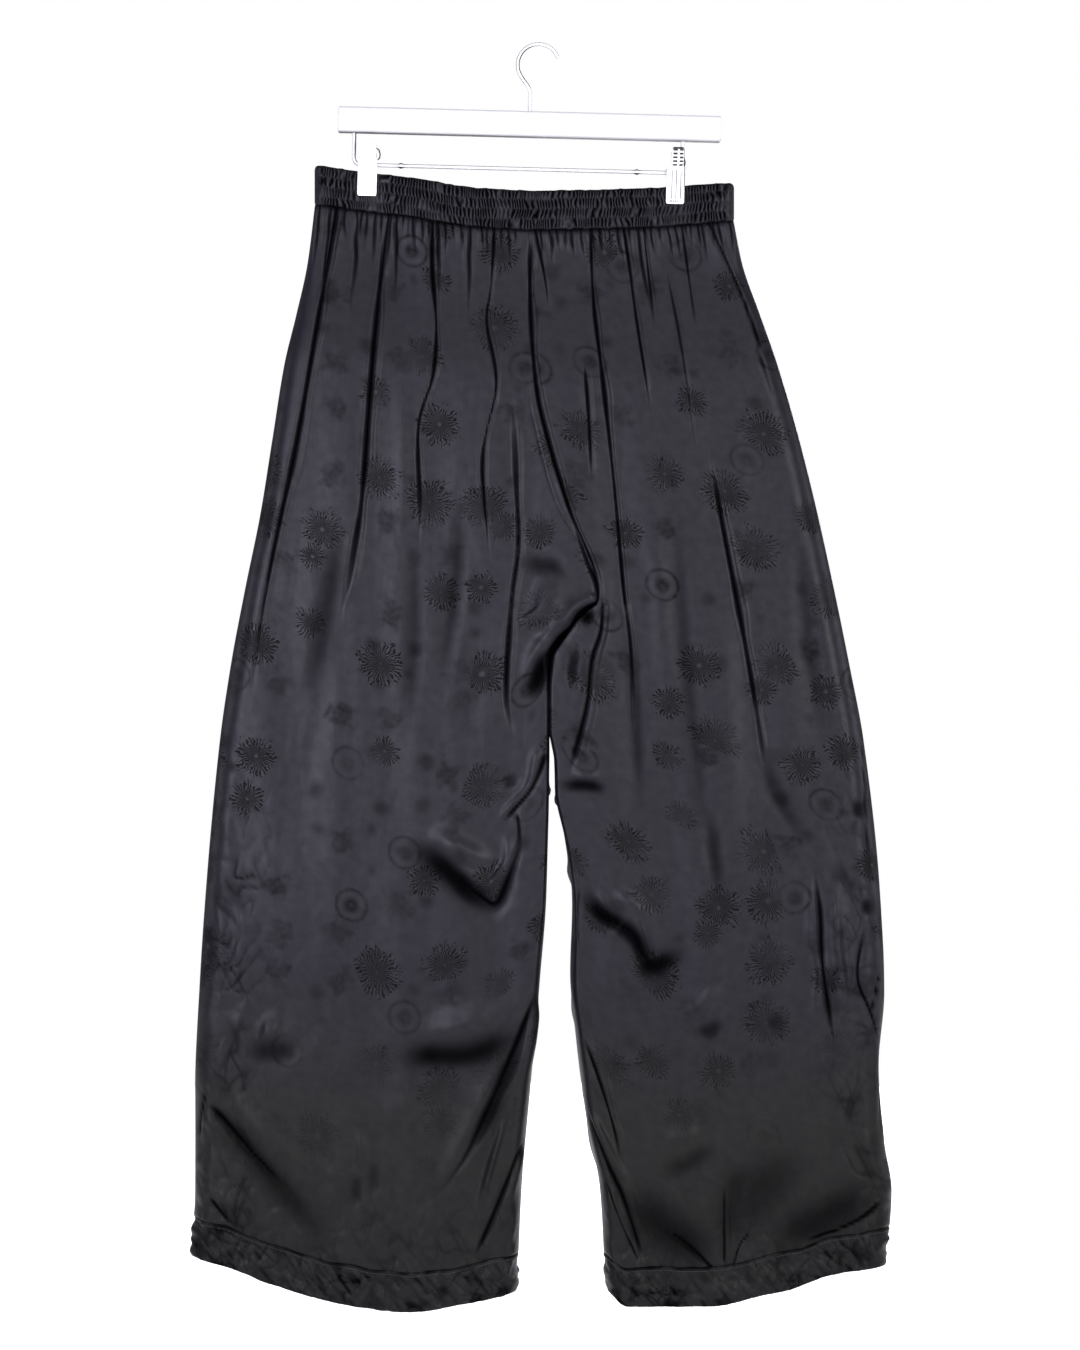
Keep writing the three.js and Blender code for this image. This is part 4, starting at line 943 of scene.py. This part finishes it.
def waistband_half(face):
    """The front or back half of the waistband, with its creases."""
    word = "front" if face < 0 else "back"
    left_x, right_x, centre_x = LEFT_SIDE[0][1], RIGHT_SIDE[0][1], CENTRE_AND_INSEAM[0][1]
    end = BAND_END_ROUND * (1 - np.cos(np.linspace(0, math.pi / 2, END_COLUMNS)))
    flat = np.linspace(left_x + BAND_END_ROUND, right_x - BAND_END_ROUND, BAND_COLUMNS)
    x = np.concatenate([left_x + end[:-1], flat, right_x - end[-2::-1]])
    from_end = np.minimum(x - left_x, right_x - x)
    turn = np.arccos(np.clip(1 - from_end / BAND_END_ROUND, 0, 1))
    left_seam = LEGS["left"]["waist_seam"]((x - left_x) / (centre_x - left_x))
    right_seam = LEGS["right"]["waist_seam"]((right_x - x) / (right_x - centre_x))
    foot = np.where(x < centre_x, left_seam, right_seam) - BAND_OVER
    up = np.linspace(0, 1, BAND_ROWS)[None, :]
    x, turn, foot, from_end = x[:, None], turn[:, None], foot[:, None], from_end[:, None]
    loose = mix(0.6, 1, ease(from_clip(x), CLIP_WIDTH / 2, CLIP_WIDTH)) * ease(from_end, 1, BAND_END_ROUND)
    mid = np.maximum(CASING / 2, waist_half_depth(x)) * np.sin(turn)
    height = up * WAISTBAND_HEIGHT
    tier = height / TIER + 0.2 * waver(x, 0, (60, 9), 300 + face)
    step = np.floor(tier)
    part = tier - step
    way = np.where(step % 2 < 1, 1, -1) * (0.2 + 0.5 * waver(x, step * 90, (30, 30), 305 + face))
    across = x / CREASE_PITCH + way * (part - 0.5)
    across = across + 1.9 * waver(x + 31 * step, step * 90, (13, 30), 310 + face)
    across = across + 0.35 * waver(x, height, (4, 7), 320 + face)
    crease = abs(np.sin(math.pi * across)) ** 0.8
    strong = 0.8 + 0.5 * waver(x, height, (6, 9), 330 + face)
    pinched = np.sin(math.pi * np.clip(part, 0, 1)) ** 0.5
    gather = GATHER * strong * loose * pinched * (crease - 0.55)
    gather += 0.6 * loose * waver(x, height, (9, 8), 340 + face)
    at_foot = np.exp(-((height / 0.9) ** 2))
    gather -= 0.9 * at_foot + 0.7 * np.exp(-((WAISTBAND_HEIGHT - height) ** 2))
    # painted shade in the creases, and in broken dashes along the seam at the foot
    deepest = np.clip(1.1 + waver(x, height, (7, 9), 350), 0, 1)
    shade = loose * (0.55 + 0.45 * pinched) * np.clip(1.35 * (1 - crease), 0, 1) * deepest
    dashes = np.clip(0.55 + waver(x, height, (5, 90), 360), 0, 1)
    shade = np.maximum(shade, at_foot * dashes)
    ruffle = 0.5 * waver(x, height, (4, 60), 370 + face) * loose
    ruffle = ruffle - (BACK_LOWER if face > 0 else 0) * ease(from_end, 0, 60)
    corner = BAND_CORNER * (1 - np.sqrt(1 - (1 - np.minimum(from_end / CORNER_WIDTH, 1)) ** 2))
    sinks = RIGHT_SINKS * ease(x, right_x - SINKS_OVER, right_x)
    z = foot + up * (WAISTBAND_HEIGHT + ruffle - corner - sinks)
    sideways = np.where(x < centre_x, -1, 1) * np.cos(turn)
    outward = np.stack(np.broadcast_arrays(sideways, face * np.sin(turn), np.zeros_like(z)), axis=-1)
    middle = np.stack(np.broadcast_arrays(x, face * np.maximum(SEAM / 2, mid), z), axis=-1)
    half = CASING / 2 * ease(from_end, -0.5, 1.5)
    outside = middle + outward * (half + gather)[..., None]
    inside = middle + outward * (half - CASING)[..., None]
    uv = np.stack(np.broadcast_arrays(STRETCHED * x + 500 * face, z), axis=-1) * MM
    piece = shell(f"casing_{word}", outside, inside, uv, shade, gathered_satin)
    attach(piece, "root")
    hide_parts(f"waistband_{word}")


for face in (-1, 1):
    waistband_half(face)


# Hem stitching: one row of lockstitches near each hem's top edge, in thread of the same black.
STITCH_LENGTH = 3.0
STITCH_PITCH = 3.6
THREAD = 0.32
thread_black, tree = new_material("black polyester thread")
strand = {"Base Color": linear("#1b1a1f"), "Roughness": 0.5, "Specular IOR Level": 0.3}
thread = node(tree, "BsdfPrincipled", strand)
node(tree, "OutputMaterial", {"Surface": thread})


def stitch_tree():
    """A node group that lays stitches end to end along a curve."""
    tree = bpy.data.node_groups.new("row of stitches", "GeometryNodeTree")
    tree.interface.new_socket("Seam", in_out="INPUT", socket_type="NodeSocketGeometry")
    for name, value in (("Pitch", STITCH_PITCH), ("Length", STITCH_LENGTH), ("Thread", THREAD)):
        size = tree.interface.new_socket(name, in_out="INPUT", socket_type="NodeSocketFloat")
        size.default_value = value * MM
    tree.interface.new_socket("Stitches", in_out="OUTPUT", socket_type="NodeSocketGeometry")
    given = node(tree, "NodeGroupInput")
    spots = node(
        tree,
        "GeometryNodeCurveToPoints",
        {"Curve": given.outputs["Seam"], "Length": given.outputs["Pitch"]},
        mode="LENGTH",
    )
    half = node(tree, "Math", {0: given.outputs["Length"], 1: 0.5}, operation="MULTIPLY")
    back = node(tree, "Math", {0: half, 1: -1.0}, operation="MULTIPLY")
    start = node(tree, "CombineXYZ", {"Z": back})
    end = node(tree, "CombineXYZ", {"Z": half})
    line = node(tree, "GeometryNodeCurvePrimitiveLine", {"Start": start, "End": end})
    bowed = node(tree, "GeometryNodeResampleCurve", {"Curve": line, "Count": 6})
    thick = given.outputs["Thread"]
    profile = node(tree, "GeometryNodeCurvePrimitiveCircle", {"Resolution": 6, "Radius": thick})
    stitch = node(
        tree, "GeometryNodeCurveToMesh", {"Curve": bowed, "Profile Curve": profile, "Fill Caps": True}
    )
    laid = node(
        tree,
        "GeometryNodeInstanceOnPoints",
        {"Points": spots.outputs["Points"], "Instance": stitch, "Rotation": spots.outputs["Rotation"]},
    )
    real = node(tree, "GeometryNodeRealizeInstances", {"Geometry": laid})
    black = node(tree, "GeometryNodeSetMaterial", {"Geometry": real, "Material": thread_black})
    node(tree, "NodeGroupOutput", {"Stitches": black})
    return tree


row_of_stitches = stitch_tree()


def stitch_row(name, points):
    """A row of stitches along a closed line of points, in mm, on a piece of cloth."""
    curve = bpy.data.curves.new(name, "CURVE")
    curve.dimensions = "3D"
    line = curve.splines.new("POLY")
    line.points.add(len(points) - 1)
    line.points.foreach_set("co", np.column_stack([points * MM, np.ones(len(points))]).reshape(-1))
    line.use_cyclic_u = True
    seam = bpy.data.objects.new(name, curve)
    bpy.context.collection.objects.link(seam)
    modifier = seam.modifiers.new("stitches", "NODES")
    modifier.node_group = row_of_stitches
    mesh = bpy.data.meshes.new_from_object(seam.evaluated_get(bpy.context.evaluated_depsgraph_get()))
    bpy.data.objects.remove(seam)
    piece = bpy.data.objects.new(name, mesh)
    bpy.context.collection.objects.link(piece)
    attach(piece, "root")


for side, skin in hem_skins.items():
    stitch_row(f"hem_stitches_{side}", skin[:, 2])


# Hook: 3.4 mm steel wire, bent round and screwed into the middle of the bar. It is nickel plated, with
# painted shade and painted dark reflections along the edges of the bend.
TILT = math.radians(1.5)
HOOK_WIRE = 1.7
HOOK_INSIDE = 17.4
HOOK_TIP, HOOK_BACK = 24, 205
STEM_X, STEM_FOOT = -7, -72
CAP_RINGS = 6  # at each round end of a wire


def plated(name, bright, dark, metallic, roughness):
    """Plated metal that turns from bright to dark where the piece's shade attribute paints shade on it."""
    material, tree = new_material(name)
    painted_darkness = node(tree, "Attribute", attribute_name="shade").outputs["Fac"]
    plate = node(tree, "Mix", {0: painted_darkness, 6: linear(bright), 7: linear(dark)}, data_type="RGBA")
    surface = {"Base Color": plate.outputs[2], "Metallic": metallic, "Roughness": roughness}
    metal = node(tree, "BsdfPrincipled", surface)
    node(tree, "OutputMaterial", {"Surface": metal})
    return material


# its dark colour is painted shade and painted dark reflections on the wire
wire_plate = plated("nickel plate on steel wire, tarnished in places", "#cdcdce", "#040303", 0.3, 0.5)


def tilted(points):
    """Points of the hanger, which hangs with its right end low."""
    x, y, z = points[..., 0], points[..., 1], points[..., 2]
    turned = (x * math.cos(TILT) + z * math.sin(TILT), y, z * math.cos(TILT) - x * math.sin(TILT))
    return np.stack(turned, axis=-1)


def arc(x, z, radius, start, end, steps):
    """Points of an arc in the hanger's plane, its angles in degrees from +X towards +Z."""
    turn = np.radians(np.linspace(start, end, steps))
    return np.stack([x + radius * np.cos(turn), 0 * turn, z + radius * np.sin(turn)], axis=-1)


def wire(name, path, radius, painted_shade, up=None, sides=20):
    """A round wire with round ends along a path in mm. The function given as its fourth argument says how
    much painted shade darkens the plating, from the wire's middle and the way each side of it faces. up
    points off the path, and is +Y when not given."""
    up = np.tile([0.0, 1.0, 0.0], (len(path), 1)) if up is None else up
    radius = np.full(len(path), float(radius)) if np.isscalar(radius) else radius
    run = np.gradient(path, axis=0)
    run /= np.linalg.norm(run, axis=1, keepdims=True)
    cap = np.radians(np.linspace(88, 12, CAP_RINGS))
    start = path[0] - run[0] * radius[0] * np.sin(cap)[:, None]
    end = path[-1] + run[-1] * radius[-1] * np.sin(cap[::-1])[:, None]
    centre = np.concatenate([start, path, end])
    size = np.concatenate([radius[0] * np.cos(cap), radius, radius[-1] * np.cos(cap[::-1])])
    run = np.pad(run, ((CAP_RINGS, CAP_RINGS), (0, 0)), mode="edge")
    up = np.pad(up, ((CAP_RINGS, CAP_RINGS), (0, 0)), mode="edge")
    across = np.cross(run, up)
    across /= np.linalg.norm(across, axis=1, keepdims=True)
    up = np.cross(across, run)
    turn = np.linspace(0, 2 * math.pi, sides, endpoint=False)
    ring = across[:, None] * np.cos(turn)[None, :, None] + up[:, None] * np.sin(turn)[None, :, None]
    points = tilted(centre[:, None] + ring * size[:, None, None]) * MM
    index = np.arange(len(centre) * sides).reshape(-1, sides)
    beside = np.roll(index, -1, axis=1)
    quads = np.stack([index[:-1], beside[:-1], beside[1:], index[1:]], axis=-1).reshape(-1, 4)
    faces = quads.tolist() + [index[0, ::-1].tolist(), index[-1].tolist()]
    dark = np.broadcast_to(painted_shade(centre[:, None], ring), ring.shape[:2])
    return new_piece(name, points.reshape(-1, 3), faces, dark, wire_plate)


def hook_painted_shade(middle, facing):
    """Painted shade and painted dark reflections along the inside and outside of the hook's bend; its stem
    stays bright.
    """
    x, z = middle[..., 0], middle[..., 2] + HOOK_INSIDE
    inward = -(facing[..., 0] * x + facing[..., 2] * z) / np.maximum(np.hypot(x, z), 1)
    left = ease(-x, -2, 14)
    strong = mix(0.72, 1.05, left) * ease(z, -34, -28)
    edge = np.where(inward > 0, mix(0.66, 0.3, left), 0.66)
    return np.clip(strong * ease(abs(inward), edge, edge + 0.3), 0, 1)


head = arc(0, -HOOK_INSIDE, HOOK_INSIDE + HOOK_WIRE, HOOK_TIP, HOOK_BACK, 60)
heel = head[-1]
t = np.linspace(0, 1, 24)[1:, None]
bends = [heel, heel + (4.5, 0, -9), (STEM_X, 0, heel[2] - 11), (STEM_X, 0, heel[2] - 20)]
p, q, r, s = [np.array(point, float) for point in bends]
neck = p * (1 - t) ** 3 + 3 * q * t * (1 - t) ** 2 + 3 * r * t * t * (1 - t) + s * t**3
stem = np.array([(STEM_X, 0, STEM_FOOT)], float)
hook = wire("wire_hook", np.concatenate([head, neck, stem]), HOOK_WIRE, hook_painted_shade, sides=24)
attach(hook, "root")
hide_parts("hanger_hook")


# Rod: 3.6 mm steel wire, plated like the hook, with both ends turned up into the bar. Two small crimps
# stop the clips from sliding to the middle.
ROD_RADIUS, ROD_Z = 1.8, -113.6
ROD_LEFT, ROD_RIGHT = -167.6, 134.5
ROD_LEFT_BEND, ROD_RIGHT_BEND = 7, 4
ROD_TOP = -76.6
CRIMPS = (-124, 93)
CRIMP_LENGTH, CRIMP_SWELL = 1.6, 0.9
level = np.linspace(ROD_LEFT + ROD_LEFT_BEND, ROD_RIGHT - ROD_RIGHT_BEND, 320)[1:-1]
rod_path = np.concatenate(
    [
        np.array([(ROD_LEFT, 0, ROD_TOP)], float),
        arc(ROD_LEFT + ROD_LEFT_BEND, ROD_Z + ROD_LEFT_BEND, ROD_LEFT_BEND, 180, 270, 12),
        np.stack([level, 0 * level, 0 * level + ROD_Z], axis=-1),
        arc(ROD_RIGHT - ROD_RIGHT_BEND, ROD_Z + ROD_RIGHT_BEND, ROD_RIGHT_BEND, 270, 360, 10),
        np.array([(ROD_RIGHT, 0, ROD_TOP)], float),
    ]
)


def rod_painted_shade(middle, facing):
    """Painted shade and painted dark reflections beside the rod's left leg, above and below its level part,
    and at the crimps.
    """
    x, z = middle[..., 0], middle[..., 2]
    right, up = facing[..., 0], facing[..., 2]
    leg = ease(-x, 164, 166) * ease(right, 0.1, 0.7) * ease(z, ROD_Z, ROD_Z + 9)
    outer = ease(-x, 160, 164) * ease(-right - up, 1.0, 1.25)
    over, under = 0.9 * ease(up, 0.6, 0.85), 0.62 * ease(-up, 0.6, 0.9)
    crimp = sum(np.exp(-(((x - place) / (2.4 * CRIMP_LENGTH)) ** 2)) for place in CRIMPS)
    lines = np.maximum(np.maximum(over, under), np.maximum(0.8 * outer, 1.2 * leg))
    return np.clip(np.maximum(lines, 1.2 * crimp * ease(abs(up), 0.3, 0.6)), 0, 1)


swell = sum(np.exp(-(((rod_path[:, 0] - place) / CRIMP_LENGTH) ** 2)) for place in CRIMPS)
rod_radius = ROD_RADIUS + CRIMP_SWELL * swell * (rod_path[:, 2] < ROD_Z + 1)
rod = wire("wire_rod", rod_path, rod_radius, rod_painted_shade)
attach(rod, "root")
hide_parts("hanger_rod")


# Clips: two pressed steel jaws each, nickel plated, with ribs on the finger grip and flutes down the plate.
# A coil spring round the rod shuts them on the waistband. The right clip is turned a little and has more
# painted shade.
# how strongly painted shade darkens each clip's grooves and edges: the left clip far less than the right
CLIPS = {
    "left": {"x": -154.6, "foot": 17.9, "grip": 15.6, "grip_shift": 0.0, "painted_darkness": 0.12, "spring_arm": 11.2},
    "right": {"x": 128.6, "foot": 16.8, "grip": 11.4, "grip_shift": 1.8, "painted_darkness": 1.0, "spring_arm": 8.6},
}
CLIP_TOP, CLIP_FOOT = -91.5, -142.5
BITE, PLATE = 4.2, 1.2
SPRING_RADIUS, SPRING_LENGTH, SPRING_OFFSET = 4.0, 9, -3.8
SPRING_WIRE, SPRING_TURNS, SPRING_STEPS = 0.65, 5.25, 170
COIL_RADIUS = 3.3  # to the middle of the spring's wire
SHOULDER = ROD_Z + 4
RIB_PITCH, RIB_HEIGHT = 3.3, 0.75
FLUTES = (-3.3, 0.6, 4.8)
FLUTE_DEPTH, FLUTE_WIDTH = 0.55, 0.6
BOX_HALF_WIDTH, BOX_ABOVE_FOOT, BOX_DEPTH = 5.2, 2.4, 0.35  # a pressed box with teeth, near the foot
TOOTH_PITCH = 2.1
clip_plate = plated("bright nickel plate", "#f4f4f5", "#040404", 0.35, 0.3)


def clip_jaw(side, face):
    """One pressed steel jaw, with painted shade in its ribs, flutes and pressed teeth, along its right edge
    and along its top.
    """
    word = "front" if face < 0 else "back"
    clip = CLIPS[side]
    half_foot, half_grip = clip["foot"] / 2, clip["grip"] / 2
    u = np.linspace(-1, 1, 37)[:, None]
    z = np.linspace(CLIP_TOP, CLIP_FOOT, 121)[None, :]
    bend = SPRING_RADIUS + 0.7
    heights = [CLIP_FOOT, CLIP_FOOT + 4, SHOULDER, CLIP_TOP]
    reach = np.interp(z, heights, [BITE, BITE + 1.2, bend, bend + 7.5])
    grip = ease(z, SHOULDER, SHOULDER + 3)
    half = mix(half_foot, half_grip, grip) - 1.6 * ease(z, CLIP_TOP - 2.5, CLIP_TOP + 1)
    half = half - ease(-z, -CLIP_FOOT - 2, -CLIP_FOOT + 0.5)
    x = u * half
    ribbed = ease(z, SHOULDER + 1, SHOULDER + 2) * ease(-abs(x), -half_grip + 0.4, -half_grip + 1.6)
    ribbed = ribbed * ease(abs(x - 0.4), 0.6, 1.1)
    rib = np.sin(2 * math.pi * (z - SHOULDER) / RIB_PITCH) * 0.5 + 0.5
    detail = RIB_HEIGHT * ribbed * rib
    # painted shade in the grooves between the ribs, in the flutes and between the teeth
    painted_shade_marks = 1.5 * ribbed * (1 - rib)
    fluted = ease(-z, -SHOULDER, -SHOULDER + 2) * ease(z, CLIP_FOOT + 3.5, CLIP_FOOT + 5)
    for flute in FLUTES:
        groove = fluted * np.exp(-(((x - flute) / FLUTE_WIDTH) ** 2))
        detail = detail - FLUTE_DEPTH * groove
        painted_shade_marks = np.maximum(painted_shade_marks, 1.08 * groove)
    box = ease(-abs(x), -BOX_HALF_WIDTH, -BOX_HALF_WIDTH + 0.6)
    box = box * ease(-abs(z - CLIP_FOOT - BOX_ABOVE_FOOT), -1.2, -0.7)
    detail = detail - BOX_DEPTH * box
    painted_shade_marks = np.maximum(painted_shade_marks, box * (np.sin(2 * math.pi * x / TOOTH_PITCH) > 0))
    rim = ease(abs(u), 0.9, 1.0)
    # painted shadow along the right edge above the foot, and along the top under the bar
    painted_shade_marks = np.maximum(painted_shade_marks, 1.1 * ease(u, 0.84, 0.95) * ease(z, CLIP_FOOT + 14, CLIP_FOOT + 18))
    painted_shade_marks = np.maximum(painted_shade_marks, 1.2 * ease(z, CLIP_TOP - 2.4, CLIP_TOP - 1.2))
    outer = reach + PLATE + detail - 0.7 * rim
    x = x + clip["grip_shift"] * grip + clip["x"]
    outside = tilted(np.stack(np.broadcast_arrays(x, face * outer, z), axis=-1))
    inside = tilted(np.stack(np.broadcast_arrays(x, face * reach, z), axis=-1))
    flat = np.stack(np.broadcast_arrays(x, z), axis=-1) * MM
    painted_darkness = np.clip(clip["painted_darkness"] * painted_shade_marks, 0, 1)
    piece = shell(f"jaw_{side}_{word}", outside, inside, flat, painted_darkness, clip_plate)
    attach(piece, "root")
    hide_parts(f"clip_{side}_{word}_jaw")


def clip_spring(side):
    """The coil round the rod, whose arm sticks out past the clip's edge."""
    clip_x, arm = CLIPS[side]["x"], CLIPS[side]["spring_arm"]
    angle = np.linspace(0, SPRING_TURNS * 2 * math.pi, SPRING_STEPS)
    x = clip_x + SPRING_OFFSET + np.linspace(-0.5, 0.5, SPRING_STEPS) * SPRING_LENGTH
    radial = np.stack([0 * angle, np.cos(angle), np.sin(angle)], axis=-1)
    coil = np.stack([x, COIL_RADIUS * radial[:, 1], ROD_Z + COIL_RADIUS * radial[:, 2]], axis=-1)
    lead = [(4, 3.6), (arm - 3, 4.4), (arm - 0.6, 6.5), (arm, 10), (arm - 1.2, 14), (arm - 4, 16)]
    bent = np.array([(clip_x + aside, 0, ROD_Z + above) for aside, above in lead], float)
    up = np.concatenate([radial, np.tile([0.0, 1.0, 0.0], (len(bent), 1))])
    path = np.concatenate([coil, bent])
    # the whole spring is painted almost black, as painted shade
    piece = wire(f"spring_{side}", path, SPRING_WIRE, lambda middle, facing: 0.93, up, sides=10)
    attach(piece, "root")
    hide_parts(f"clip_{side}_spring")


for side in CLIPS:
    clip_spring(side)
    for face in (-1, 1):
        clip_jaw(side, face)


# Bar: beech with bevelled edges, sanded and painted white with a satin gloss. It stays the CAD bar, and
# its material paints shade on the lower bevel and a painted shadow line along its underside.
white_paint, tree = new_material("white satin paint on wood")
BAR_FOOT, BEVEL = -84.6, 3.5
place = node(tree, "TexCoord").outputs["Object"]
up_bar = (math.sin(TILT), 0, math.cos(TILT))
height = node(tree, "VectorMath", {0: place, 1: up_bar}, operation="DOT_PRODUCT").outputs["Value"]
# painted shade: the lowest few millimetres of the bevel are greyer
ramp = {0: height, 1: BAR_FOOT * MM, 2: (BAR_FOOT + BEVEL) * MM}
bevel = node(tree, "MapRange", ramp, interpolation_type="SMOOTHSTEP")
paint = node(tree, "Mix", {0: bevel, 6: linear("#8c8d8c"), 7: linear("#bfc3c1")}, data_type="RGBA")
# painted shadow: a dark line along the underside, stronger towards the left end
ramp = {0: height, 1: (BAR_FOOT + 0.1) * MM, 2: (BAR_FOOT + 0.8) * MM, 3: 1.0, 4: 0.0}
under = node(tree, "MapRange", ramp)
along = node(tree, "SeparateXYZ", {0: place})
shaded = node(tree, "MapRange", {0: along, 1: -0.06, 2: 0.06, 3: 1.0, 4: 0.55})
under = node(tree, "Math", {0: under, 1: shaded}, operation="MULTIPLY")
pattern_fade_and_painted_shadow = node(tree, "Mix", {0: under, 6: paint.outputs[2], 7: linear("#0b0a0a")}, data_type="RGBA")
gloss = {"Base Color": pattern_fade_and_painted_shadow.outputs[2], "Roughness": 0.45, "Specular IOR Level": 0.35}
coat = node(tree, "BsdfPrincipled", gloss)
node(tree, "OutputMaterial", {"Surface": coat})
bar = bpy.data.objects["hanger_bar"]
bar.data.materials.clear()
bar.data.materials.append(white_paint)
